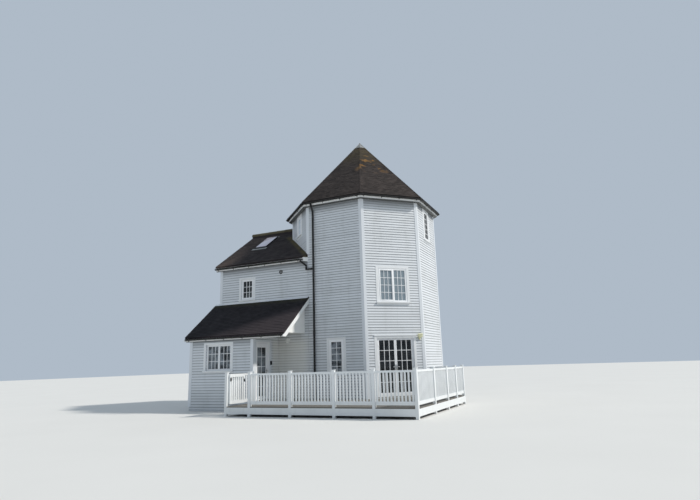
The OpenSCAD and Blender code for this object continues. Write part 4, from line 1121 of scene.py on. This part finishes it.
@dataclass(frozen=True)
class TiledRoofs:
    """Plain tiles, ridge, hips and lead of the three roofs."""

    gauge: float = 0.10
    width: float = 0.165
    length: float = 0.135
    thick: float = 0.012
    tail_lift: float = 0.024
    tilt: float = 0.11
    cap_run: float = 2.86
    ridge_tile: float = 0.45
    ridge_radius: float = 0.118

    def slopes(self) -> Iterator[Slope]:
        """Every stretch of roof in turn.

        Yields:
            The stretches.
        """
        top = self.cap_run / math.cos(TOWER_LEAN)
        for turn in range(0, 360, 45):
            yield Slope(f"tower_tiles_{turn}", turn, TOWER_EDGE, TOWER_EAVES, TOWER_LEAN, -1.3, 1.3, 0, top,
                        TOWER_TILES, hips(turn))
        lower, ridge = wing_rise(1.873), wing_rise(WING_RUN)
        skylight = Hole(-4.57, -4.07, *SKYLIGHT_RISE)
        yield Slope("wing_tiles_front_low", 0, WING_EDGE, WING_EAVES, WING_LEAN, -VERGE, -1.0, 0, lower,
                    WING_TILES, (EAVES_MITRE, FRONT_LEFT_FACE), (skylight,))
        yield Slope("wing_tiles_front_high", 0, WING_EDGE, WING_EAVES, WING_LEAN, -VERGE, -2.8, lower, ridge,
                    WING_TILES, (LEFT_FACE,), (skylight,))
        back_lower = wing_rise(BACK_EDGE - TOWER_CORNER)
        yield Slope("wing_tiles_back_low", 180, BACK_EDGE, WING_EAVES, WING_LEAN, 1.5, VERGE, 0, back_lower,
                    WING_TILES, (BACK_LEFT_FACE,))
        yield Slope("wing_tiles_back_high", 180, BACK_EDGE, WING_EAVES, WING_LEAN, 2.8, VERGE, back_lower,
                    ridge, WING_TILES, (LEFT_FACE,))
        yield Slope("lean_to_tiles", 0, LEAN_EDGE, 2.721, LEAN_TO_LEAN, -5.685, -1.15, 0,
                    1.811 / math.cos(LEAN_TO_LEAN), LEAN_TILES)

    def build_slope(self, slope: Slope) -> None:
        """Tiles one stretch in broken bond.

        Args:
            slope: The stretch.
        """
        shape = Shape(slope.name)
        plane = slope.place()
        first = math.ceil(slope.start / self.gauge - 0.5)
        count = math.ceil((slope.end - 0.4 * self.gauge) / self.gauge)
        for row in range(first, count):
            up = row * self.gauge
            shift = self.width / 2 * (row % 2)
            tiles = Shape(f"{slope.name}_{row}")
            ends = spans(slope.left, slope.right, up + 0.3 * self.gauge, up + 0.7 * self.gauge, slope.holes)
            for left, right in ends:
                step = math.floor((left - shift) / self.width)
                while shift + step * self.width < right:
                    a = max(left, shift + step * self.width + 0.001)
                    b = min(right, shift + (step + 1) * self.width - 0.001)
                    if b - a > 0.015:
                        self.lay(tiles, plane, a, b, up, slope.end)
                    step += 1
            shape.take(tiles.mesh)
        shape.cut(slope.cuts)
        shape.done(slope.finish, Slot.TILES)

    def lay(self, tiles: Shape, plane: Matrix, left: float, right: float, up: float, end: float) -> None:
        """Lays one tile, a little out of true.

        Args:
            tiles: The row that it belongs to.
            plane: The roof's plane.
            left: Its left side.
            right: Its right side.
            up: Its tail's place up the slope.
            end: Where the roof ends.
        """
        lift = tiles.chance.uniform(-0.0025, 0.0025)
        slip = tiles.chance.uniform(-0.004, 0.004)
        yaw = tiles.chance.uniform(-0.008, 0.008)
        seat = Matrix.Translation(((left + right) / 2, up + slip, self.tail_lift - self.thick + lift))
        turn = Matrix.Rotation(yaw, 4, "Z") @ Matrix.Rotation(-self.tilt, 4, "X")
        half = (right - left) / 2
        tiles.box((-half, 0, 0), (half, min(self.length, end - up), self.thick), plane @ seat @ turn)

    def build_hips(self) -> None:
        """Lays the mitre strips over the tower's eight hips."""
        shape = Shape("tower_hips")
        foot, head = TOWER_EDGE / math.cos(EIGHTH), HIP_END / math.cos(EIGHTH)
        rise = math.tan(TOWER_LEAN)
        for side in range(8):
            angle = math.pi / 4 * side + EIGHTH
            out = Vector((math.cos(angle), math.sin(angle), 0))
            low = out * foot + UP * HIP_FOOT
            high = out * head + UP * (HIP_FOOT + (TOWER_EDGE - HIP_END) * rise)
            steps = 44
            for step in range(steps):
                start = low.lerp(high, step / steps)
                end = low.lerp(high, (step + 1.15) / steps)
                shape.bar(start + UP * 0.012, end + UP * 0.002, UP, 0.045, 0.016)
        shape.done(TOWER_TILES, Slot.TILES)

    def build_ridge(self) -> None:
        """Beds half-round ridge tiles along the wing's ridge."""
        shape = Shape("ridge_tiles")
        left, right = -VERGE, -2.90
        count = round((right - left) / self.ridge_tile)
        step = (right - left) / count
        height = RIDGE.z + 0.062
        for tile in range(count):
            start = (left + tile * step, RIDGE.y, height)
            end = (left + (tile + 1) * step + 0.02 * (tile < count - 1), RIDGE.y, height)
            shape.rod(start, end, self.ridge_radius, end_radius=self.ridge_radius - 0.007, steps=24)
        shape.cut((((0, 0, RIDGE.z + 0.03), (0, 0, -1)),))
        shape.done(RIDGE_TILES, Slot.TILES, Body.HOUSE, "wing_ridge")
        bedding = Shape("ridge_mortar")
        for side in (-1, 1):
            near, far = sorted((RIDGE.y + side * 0.07, RIDGE.y + side * 0.104))
            bedding.box((left + 0.02, near, RIDGE.z - 0.06), (right, far, RIDGE.z + 0.032))
        bedding.done(WING_TILES, Slot.TILES)

    def build_lead(self) -> None:
        """Dresses lead where the roofs meet walls, and welts on the tower's cap."""
        shape = Shape("lead_flashings")
        middle = LEAN_TOP + Vector((0, -0.04, -0.04 * math.tan(LEAN_TO_LEAN))) + LEAN_SLOPE * 0.030
        shape.bar((-5.66, middle.y, middle.z), (-1.17, middle.y, middle.z), LEAN_SLOPE, 0.09, 0.004)
        shape.box((-5.48, -2.914, 4.13), (-1.19, -2.909, 4.20))
        shape.done(WHITE_TRIM, Slot.TRIM)
        cap = Shape("cap_welts")
        rise = math.tan(TOWER_LEAN)
        apex = TOWER_EAVES + TOWER_EDGE * rise
        radius = CAP_HALF / math.cos(EIGHTH)
        angles = [EIGHTH + side * math.pi / 4 for side in range(9)]
        corners = [Vector((math.cos(angle), math.sin(angle), 0)) for angle in angles]
        lifted = 0.028 / math.cos(TOWER_LEAN)
        for start, end in zip(corners, corners[1:]):
            foot = start * radius + UP * (apex - CAP_HALF * rise + lifted)
            cap.rod(foot, UP * (apex + lifted - 0.004), 0.010, steps=8)
            next_foot = end * radius + UP * (apex - CAP_HALF * rise + lifted - 0.006)
            cap.rod(foot - UP * 0.006, next_foot, 0.012, steps=8)
        cap.turned([(0, 0.03), (0.02, 0.027), (0.035, 0.012), (0.04, -0.02), (0.03, -0.05)],
                   Matrix.Translation((0, 0, apex + lifted - 0.02)), steps=16)
        cap.done(LEAD, Slot.LEAD)

    def build(self) -> None:
        """Covers every roof."""
        for slope in self.slopes():
            self.build_slope(slope)
        self.build_hips()
        self.build_ridge()
        self.build_lead()


# Rainwater goods


@dataclass(frozen=True)
class Rainwater:
    """Brackets and unions of the gutters and collars of the downpipe."""

    radius: float = 0.056
    wall: float = 0.005
    band: float = 0.022
    pitch: float = 0.9
    tower_lip: float = 7.935
    wing_lip: float = 5.682
    lean_to_lip: float = 2.663
    pipe_side: float = -0.90
    collars: tuple[float, float] = (2.75, 5.25)
    branch: tuple[Point, ...] = (
        (-1.42, -3.122, 5.60), (-1.22, -PIPE_OUT, 5.40), (-1.22, -PIPE_OUT, 5.25), (-0.965, -PIPE_OUT, 5.25),
    )

    def hoop(self, shape: Shape, place: Matrix, width: float) -> None:
        """Adds a half-round band under a gutter that runs along X.

        Args:
            shape: The piece that it belongs to.
            place: The middle of the gutter at its lip.
            width: The band's width.
        """
        inner, outer = self.radius - 0.001, self.radius + self.wall
        outline = [(inner, -width / 2), (outer, -width / 2), (outer, width / 2), (inner, width / 2)]
        turn = Matrix.Rotation(math.pi / 2, 4, "Y") @ Matrix.Rotation(-math.pi / 2, 4, "Z")
        shape.turned(outline, place @ turn, math.pi, 12)

    def run(self, shape: Shape, place: Matrix, left: float, right: float) -> None:
        """Hangs one straight gutter on its brackets.

        Args:
            shape: The piece that they belong to.
            place: The gutter's line, along X at its lip.
            left: Its left end.
            right: Its right end.
        """
        count = max(2, math.ceil((right - left) / self.pitch) + 1)
        for step in range(count):
            along = left + 0.12 + (right - left - 0.24) * step / (count - 1)
            spot = place @ Matrix.Translation((along, 0, 0))
            self.hoop(shape, spot, self.band)
            shape.box((-0.011, 0.045, -0.09), (0.011, 0.06, 0.004), spot)
        if right - left > 3:
            self.hoop(shape, place @ Matrix.Translation(((left + right) / 2, 0, 0)), 0.09)

    def build(self) -> None:
        """Hangs every gutter."""
        shape = Shape("gutter_brackets")
        for turn in range(0, 360, 45):
            self.run(shape, facing(turn, TOWER_EDGE, self.tower_lip), -1.25, 1.25)
            mitre = facing(turn + 22.5, TOWER_EDGE / math.cos(EIGHTH), self.tower_lip)
            self.hoop(shape, mitre, 0.12)
        self.run(shape, facing(0, WING_EDGE, self.wing_lip), -VERGE, -1.45)
        self.run(shape, facing(180, BACK_EDGE, self.wing_lip), 1.75, VERGE)
        self.run(shape, facing(0, LEAN_EDGE, self.lean_to_lip), -VERGE, -1.2)
        shape.done(BLACK, Slot.GUTTER)
        pipe = Shape("pipe_collars")
        for height in self.collars:
            spot = Matrix.Translation((self.pipe_side, -PIPE_OUT, height))
            outline = [(0.037, 0), (0.045, 0), (0.045, 0.012), (0.042, 0.016), (0.042, 0.07), (0.046, 0.075),
                       (0.046, 0.085), (0.037, 0.085)]
            pipe.turned(outline, spot)
        for start, end in zip(self.branch, self.branch[1:]):
            pipe.rod(start, end, 0.034, steps=20)
            pipe.rod(Vector(end).lerp(start, 0.03 / math.dist(start, end)), end, 0.040, steps=20)
        pipe.done(BLACK, Slot.GUTTER)


# Windows and doors


@dataclass(frozen=True)
class Glazed:
    """Bars and opening lights of windows, measured in from the wall's face."""

    frame: float = 0.06
    glass_front: float = 0.023
    glass_back: float = 0.047
    bar: float = 0.018
    bead: float = 0.010

    def lattice(self, shape: Shape, place: Matrix, sides: tuple[float, float], rise: tuple[float, float],
                counts: tuple[int, int], faces: tuple[float, float], deep: float = 0.012) -> None:
        """Adds glazing bars on both faces of a pane.

        Args:
            shape: The piece that they belong to.
            place: The opening's place.
            sides: The pane's left and right edges.
            rise: Its lower and upper edges.
            counts: Its numbers of columns and rows.
            faces: How deep its outer and inner faces lie.
            deep: How far the bars stand off the glass.
        """
        half = self.bar / 2
        for front, back in ((faces[0] - deep, faces[0] + 0.002), (faces[1] - 0.002, faces[1] + deep * 0.7)):
            for column in range(1, counts[0]):
                u = sides[0] + (sides[1] - sides[0]) * column / counts[0]
                shape.box((u - half, front, rise[0]), (u + half, back, rise[1]), place, 0.003)
            for row in range(1, counts[1]):
                z = rise[0] + (rise[1] - rise[0]) * row / counts[1]
                shape.box((sides[0], front + 0.0015, z - half), (sides[1], back, z + half), place, 0.003)

    def ring(self, shape: Shape, place: Matrix, sides: tuple[float, float], rise: tuple[float, float],
             width: float, front: float, back: float) -> None:
        """Adds four mitred-looking bars round an opening.

        Args:
            shape: The piece that they belong to.
            place: The opening's place.
            sides: The ring's left and right outside edges.
            rise: Its lower and upper outside edges.
            width: The width of its bars.
            front: How deep its outer face lies.
            back: How deep its inner face lies.
        """
        left, right = sides
        low, high = rise
        bevel = 0.003
        for a, b in ((left, left + width), (right - width, right)):
            shape.box((a, front, low), (b, back, high), place, bevel)
        for a, b in ((low, low + width), (high - width, high)):
            shape.box((left + width - 0.004, front + 0.0008, a), (right - width + 0.004, back, b), place,
                      bevel)

    def light(self, shape: Shape, opening: Opening, sides: tuple[float, float], opens: bool) -> None:
        """Fills one light of a window.

        Args:
            shape: The piece that it belongs to.
            opening: The window.
            sides: The light's left and right edges inside the frame.
            opens: Whether it has its own sash.
        """
        place = opening.place()
        rise = (opening.sill + self.frame, opening.head - self.frame)
        faces = (opening.face + self.glass_front, opening.face + self.glass_back)
        if opens:
            over, inset = 0.018, opening.sash
            outer = ((sides[0] - over, sides[1] + over), (rise[0] - over, rise[1] + over))
            self.ring(shape, place, outer[0], outer[1], inset + over, opening.face - 0.012, faces[0] + 0.001)
        else:
            inset = self.bead
            self.ring(shape, place, sides, rise, inset, faces[0] - 0.008, faces[0] + 0.001)
        sides = (sides[0] + inset, sides[1] - inset)
        rise = (rise[0] + inset, rise[1] - inset)
        self.lattice(shape, place, sides, rise, (opening.columns, opening.rows), faces)

    def window(self, opening: Opening) -> None:
        """Fills one window.

        Args:
            opening: The window.
        """
        shape = Shape(f"bars_{opening.name}")
        half = opening.width / 2 - self.frame
        two = opening.style in (Style.CASEMENTS, Style.SASH_AND_FIXED)
        if two:
            inner = self.frame / 2
            self.light(shape, opening, (-half, opening.mullion - inner), True)
            self.light(shape, opening, (opening.mullion + inner, half), opening.style is Style.CASEMENTS)
        else:
            self.light(shape, opening, (-half, half), opening.style is Style.CASEMENT)
        shape.done(WHITE_JOINERY, Slot.JOINERY)

    def build(self) -> None:
        """Fills every window."""
        for opening in OPENINGS:
            if opening.style is not Style.DOOR:
                self.window(opening)


@dataclass(frozen=True)
class Leaf:
    """One door leaf and where its pane lies."""

    name: str
    body: Body
    opening: str
    sides: tuple[float, float]
    rise: tuple[float, float]
    counts: tuple[int, int]
    front: float
    handle: float
    bead: float

    def build(self, glazed: Glazed) -> None:
        """Adds the leaf's glazing bars, beads and handles.

        Args:
            glazed: The maker of bars.
        """
        opening = next(o for o in OPENINGS if o.name == self.opening)
        place = opening.place()
        faces = (self.front + 0.012, self.front + 0.036)
        shape = Shape(f"{self.name}_bars")
        glazed.lattice(shape, place, self.sides, self.rise, self.counts, faces, 0.010)
        for front, back in ((faces[0] - 0.008, faces[0] + 0.001), (faces[1] - 0.001, faces[1] + 0.008)):
            glazed.ring(shape, place, self.sides, self.rise, self.bead, front, back)
        shape.done(WHITE_JOINERY, Slot.JOINERY, self.body)
        self.furnish(place)

    def furnish(self, place: Matrix) -> None:
        """Adds a lever handle on its plate to both faces.

        Args:
            place: The door's place.
        """
        shape = Shape(f"{self.name}_handles")
        toward = -1 if self.handle > 0 else 1
        for face, out in ((self.front, -1), (self.front + DOOR_THICK, 1)):
            near, far = sorted((face, face + out * 0.0075))
            low, high = HANDLE_PLATE
            shape.box((self.handle - 0.019, near, low), (self.handle + 0.019, far, high), place, 0.002)
            knob = face + out * 0.034
            root, tip = (self.handle, face, HANDLE_HEIGHT), (self.handle, knob + out * 0.008, HANDLE_HEIGHT)
            shape.rod(root, tip, 0.0098, place, steps=16)
            start, end = self.handle - toward * 0.012, self.handle + toward * 0.114
            shape.rod((start, knob, HANDLE_HEIGHT), (end, knob, HANDLE_HEIGHT), 0.0094, place, steps=16)
            shape.turned([(0, 0.004), (0.006, 0.004), (0.008, 0.001), (0.008, 0), (0, 0)],
                         place @ Matrix.Translation((self.handle, face + out * 0.007, 1.31))
                         @ Matrix.Rotation(-out * math.pi / 2, 4, "X"), steps=12)
        shape.done(STEEL, Slot.JOINERY, self.body)


FRENCH_RISE = (0.486, 2.379)
HANDLE_HEIGHT = 1.40
HANDLE_PLATE = (1.259, 1.481)
DOOR_THICK = 0.048
LEAVES = (
    Leaf("front_leaf", Body.FRONT_LEAF, "front_door", (-0.281, 0.279),
         (0.486, 2.264), (2, 5), 0.04, 0.338, 0.012),
    Leaf("french_left", Body.FRENCH_LEFT, "french_doors", (-0.657, -0.047),
         FRENCH_RISE, (3, 5), 0.015, -0.026, 0.006),
    Leaf("french_right", Body.FRENCH_RIGHT, "french_doors", (0.047, 0.657),
         FRENCH_RISE, (3, 5), 0.015, 0.026, 0.006),
)


# Deck


@dataclass(frozen=True)
class Decking:
    """Deck boards along X on joists."""

    board: float = 0.14
    gap: float = 0.005
    top: float = 0.31
    thick: float = 0.03
    left: float = -2.497
    right: float = 4.187
    front: float = -6.247
    back: float = -0.653
    post: float = 0.051
    posts: tuple[tuple[float, float], ...] = (
        *((x, -6.2) for x in (-2.45, -1.52, 0.01, 1.54, 2.84, 4.14)),
        *((4.14, y) for y in (-4.5, -3.0, -1.8, -0.7)),
        (-2.45, -4.677),
    )
    pipe_hole: Hole = Hole(-0.95, -0.85, -3.013, -2.913)
    slant_end: float = -1.19
    beside_slant: float = 1.15
    beside_tower: float = 2.91
    joist_pitch: float = 0.6
    joist_half: float = 0.022
    joist_foot: float = 0.14

    def start(self, near: float, far: float) -> float:
        """Where a row of boards starts on the left, before the tower's slanted side cuts it."""
        if far <= -TOWER_FACE:
            return self.left
        return self.beside_slant if near < self.slant_end else self.beside_tower

    def build(self) -> None:
        """Lays the boards and their joists."""
        boards = Shape("deck_boards")
        slanted = Shape("deck_boards_slanted")
        pitch = self.board + self.gap
        count = math.ceil((self.back - self.front) / pitch)
        for row in range(count):
            near = self.front + row * pitch
            far = min(near + self.board, self.back)
            holes = [Hole(x - self.post, x + self.post, y - self.post, y + self.post) for x, y in self.posts]
            holes.append(self.pipe_hole)
            target = slanted if far > -TOWER_FACE and near < self.slant_end else boards
            for left, right in spans(self.start(near, far), self.right, near, far, holes):
                target.box((left, near, self.top - self.thick), (right, far, self.top), STILL, 0.004)
        slanted.cut((((TOWER_CORNER + BOARD_DEPTH, -TOWER_FACE, 0), (-1, 1, 0)),))
        boards.take(slanted.mesh)
        boards.done(SHADED_GREY_DECK, Slot.DECK, Body.HOUSE, "deck")
        joists = Shape("deck_joists")
        x = self.left + 0.1
        while x < self.right:
            far = -2.95 if x < 1.2 else (min(-1.3, x - 4.15) if x < 2.95 else self.back - 0.05)
            joists.box((x - self.joist_half, self.front + 0.05, self.joist_foot),
                       (x + self.joist_half, far, self.top - self.thick))
            x += self.joist_pitch
        joists.done(SHADED_GREY_DECK, Slot.DECK)


# Fittings


@dataclass(frozen=True)
class Fittings:
    """Lamps, vent, key safe, skylight and gate latch."""

    def lamps(self) -> None:
        """Builds the porch bulkhead and the flood lamp."""
        shape = Shape("lamp_bodies")
        upright = Matrix.Rotation(math.pi / 2, 4, "X")
        place = facing(0, TOWER_FACE) @ Matrix.Translation((-2.11, 0, 2.515)) @ upright
        outline = [(0, 0.094), (0.035, 0.092), (0.062, 0.082), (0.08, 0.064), (0.086, 0.048), (0.10, 0.048),
                   (0.10, 0.018), (0.096, 0.018), (0.096, 0), (0, 0)]
        shape.turned(outline, place, steps=32)
        shape.done(WHITE_LAMP, Slot.LAMP, Body.HOUSE, "wall_lamps")
        shape = Shape("flood_lamp")
        flood = facing(45, TOWER_FACE) @ Matrix.Translation((1.01, 0, 2.53))
        shape.box((-0.035, -0.042, -0.15), (0.035, -0.015, 0.035), flood, 0.004)
        shape.rod((0, -0.04, 0), (0, -0.075, 0.0), 0.018, flood)
        tilt = flood @ Matrix.Translation((0, -0.085, 0.0)) @ Matrix.Rotation(math.radians(20), 4, "X")
        shape.box((-0.092, -0.028, -0.068), (0.092, 0.025, 0.070), tilt, 0.010)
        shape.box((-0.095, -0.042, 0.060), (0.095, 0.015, 0.074), tilt, 0.004)
        shape.turned([(0, 0.028), (0.014, 0.024), (0.022, 0.010), (0.022, -0.03), (0, -0.03)],
                     flood @ Matrix.Translation((0, -0.056, -0.125)) @ Matrix.Rotation(math.pi, 4, "X"),
                     steps=16)
        shape.box((-0.084, -0.034, -0.062), (0.084, -0.027, 0.058), tilt, 0.002)
        shape.done(CREAM, Slot.LAMP, Body.HOUSE, "wall_lamps")

    def vent(self) -> None:
        """Builds the round louvred vent."""
        shape = Shape("vent_louvre")
        place = facing(0, TOWER_FACE) @ Matrix.Translation((-2.435, 0, 5.274))
        outline = [(0.065, 0.038), (0.069, 0.041), (0.077, 0.040), (0.080, 0.034), (0.080, 0.004),
                   (0.065, 0.004), (0.065, 0.038)]
        turn = Matrix.Rotation(math.pi / 2, 4, "X")
        shape.turned(outline, place @ turn, steps=32)
        shape.turned([(0, 0.008), (0.067, 0.008), (0.067, 0), (0, 0)], place @ turn, steps=32)
        for step in range(-2, 3):
            height = step * 0.024
            half = math.sqrt(0.065 ** 2 - height ** 2)
            slat = place @ Matrix.Translation((0, -0.026, height)) @ Matrix.Rotation(math.radians(35), 4, "X")
            shape.box((-half, -0.014, -0.002), (half, 0.014, 0.002), slat)
        shape.done(BLACK, Slot.GUTTER, Body.HOUSE, "wall_vent")

    def key_safe(self) -> None:
        """Builds the small key safe beside the front door."""
        low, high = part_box("key_safe")
        shape = Shape("key_safe_case")
        shape.box(low, high - Vector((0.012, 0, 0)), STILL, 0.006)
        shape.box(low + Vector((0.02, 0.006, 0.008)), high - Vector((0.002, 0.006, 0.02)), STILL, 0.005)
        middle = (low + high) / 2
        for row in range(4):
            for side in (-1, 1):
                spot = (high.x - 0.004, middle.y + side * 0.014, low.z + 0.03 + row * 0.024)
                shape.rod(spot, (high.x, spot[1], spot[2]), 0.0065, steps=10)
        shape.done(BLACK_IRON, Slot.GUTTER, Body.HOUSE, "key_safe")

    def skylight(self) -> None:
        """Builds the skylight's frame, cover flashings and pane."""
        plane = Slope("", 0, WING_EDGE, WING_EAVES, WING_LEAN, 0, 0, 0, 0, WING_TILES).place()
        low, high = SKYLIGHT_RISE
        left, right = -4.575, -3.99
        low -= 0.09
        shape = Shape("skylight_frame")
        for a, b in ((left, left + 0.045), (right - 0.03, right)):
            shape.box((a, low, 0.0), (b, high, 0.068), plane, 0.006)
        for a, b in ((low, low + 0.11), (high - 0.05, high)):
            shape.box((left + 0.04, a, 0.0), (right - 0.025, b, 0.066), plane, 0.006)
        shape.done(GREY_METAL, Slot.SKYLIGHT, Body.HOUSE, "skylight")
        apron = Shape("skylight_flashings")
        apron.box((left - 0.09, low - 0.15, 0.026), (right + 0.09, low + 0.01, 0.034), plane, 0.002)
        apron.box((left - 0.07, high - 0.01, 0.024), (right + 0.07, high + 0.07, 0.030), plane, 0.002)
        apron.done(LEAD, Slot.LEAD)
        pane = Shape("skylight_pane")
        pane.box((left + 0.035, low + 0.10, 0.058), (right - 0.02, high - 0.035, 0.072), plane, 0.002)
        pane.done(SKY_REFLECTION_GLASS, Slot.GLASS)

    def latch(self) -> None:
        """Builds the gate's ring latch and the catch beside its post."""
        shape = Shape("gate_latch")
        x, y, z = -2.357, -5.386, 1.12
        for side in (-1, 1):
            face = x + side * 0.022
            near, far = sorted((face, face + side * 0.0065))
            shape.box((near, y - 0.0265, z - 0.0515), (far, y + 0.0265, z + 0.0515), STILL, 0.002)
            spot = Matrix.Translation((face + side * 0.012, y, z - 0.02))
            turn = spot @ Matrix.Rotation(math.pi / 2, 4, "Y")
            ring = [(0.024 + 0.0064 * math.cos(a), 0.0064 * math.sin(a))
                    for a in (math.pi * k / 5 for k in range(10))]
            shape.turned([*ring, ring[0]], turn, steps=28)
            shape.rod((face, y, z), (face + side * 0.019, y, z), 0.0092, steps=16)
        front = x + 0.022
        shape.box((front, -6.162, 1.105), (front + 0.006, -6.100, 1.225), STILL, 0.002)
        shape.box((front + 0.004, -6.158, 1.120), (front + 0.026, -6.106, 1.210), STILL, 0.009)
        shape.done(BLACK_IRON, Slot.FENCE, Body.GATE)

    def build(self) -> None:
        """Builds every fitting."""
        self.lamps()
        self.vent()
        self.key_safe()
        self.skylight()
        self.latch()


# Studio


@dataclass(frozen=True)
class Studio:
    """Camera, light and floor."""

    eye: tuple[float, float, float] = (8.993, -20.803, 1.560)
    heading: float = math.radians(24.8605)
    pitch: float = math.radians(13.1487)
    roll: float = math.radians(-1.7223)
    focal: float = 524.9
    image: tuple[int, int] = (700, 500)
    centre: float = 241.1
    sensor: float = 36
    sight: float = 500
    sunward: tuple[float, float, float] = (0.95, 0.31, 0.90)
    sun_strength: float = 3.0
    sun_spread: float = 0.07
    sun_colour: Colour = (1.0, 0.96, 0.9)
    sky_colour: Colour = (0.69, 0.80, 0.93)
    sky_strength: float = 0.62
    floor_half: float = 120
    floor_drop: float = 0.004

    def camera(self) -> None:
        """Sets the camera up at the solved viewpoint."""
        sin, cos = math.sin, math.cos
        forward = Vector((-sin(self.heading) * cos(self.pitch), cos(self.heading) * cos(self.pitch),
                          sin(self.pitch)))
        level = Vector((cos(self.heading), sin(self.heading), 0))
        lift = level.cross(forward)
        right = level * cos(self.roll) + lift * sin(self.roll)
        over = lift * cos(self.roll) - level * sin(self.roll)
        data = bpy.data.cameras.new("camera")
        data.sensor_width = self.sensor
        data.lens = self.focal / self.image[0] * self.sensor
        data.shift_y = (self.centre - self.image[1] / 2) / self.image[0]
        data.clip_end = self.sight
        camera = bpy.data.objects.new("camera", data)
        turn = Matrix((right, over, -forward)).transposed().to_4x4()
        camera.matrix_world = Matrix.Translation(self.eye) @ turn
        bpy.context.scene.collection.objects.link(camera)
        bpy.context.scene.camera = camera

    def light(self) -> None:
        """Lights the house with a soft sun and a pale sky."""
        data = bpy.data.lights.new("sun", "SUN")
        data.energy = self.sun_strength
        data.angle = self.sun_spread
        data.color = self.sun_colour
        sun = bpy.data.objects.new("sun", data)
        sun.rotation_euler = Vector(self.sunward).to_track_quat("Z", "Y").to_euler()
        bpy.context.scene.collection.objects.link(sun)
        world = bpy.data.worlds.new("sky")
        world.use_nodes = True
        backdrop = world.node_tree.nodes["Background"]
        backdrop.inputs["Color"].default_value = (*self.sky_colour, 1)
        backdrop.inputs["Strength"].default_value = self.sky_strength
        bpy.context.scene.world = world
        bpy.context.scene.view_settings.view_transform = "Standard"

    def floor(self) -> None:
        """Lays a plain pale floor."""
        mesh = bmesh.new()
        bmesh.ops.create_grid(mesh, x_segments=1, y_segments=1, size=self.floor_half,
                              matrix=Matrix.Translation((0, 0, -self.floor_drop)))
        data = bpy.data.meshes.new("floor")
        mesh.to_mesh(data)
        mesh.free()
        graph = Graph("studio floor")
        shade = graph.noise(0.3, 3)
        colour = graph.mix(shade, paint(212, 211, 207), paint(219, 218, 214))
        data.materials.append(graph.surface(Base_Color=colour, Roughness=0.9))
        piece = bpy.data.objects.new("floor", data)
        bpy.context.scene.collection.objects.link(piece)

    def build(self) -> None:
        """Sets the whole studio up."""
        self.camera()
        self.light()
        self.floor()


def main() -> None:
    """Builds every sub-assembly in order."""
    logging.basicConfig(level=logging.INFO, format="%(name)s %(message)s")
    Studio().build()
    dress_frame()
    Weatherboards().build()
    TiledRoofs().build()
    Rainwater().build()
    glazed = Glazed()
    glazed.build()
    for leaf in LEAVES:
        leaf.build(glazed)
    Decking().build()
    Fittings().build()


if __name__ == "__main__":
    main()
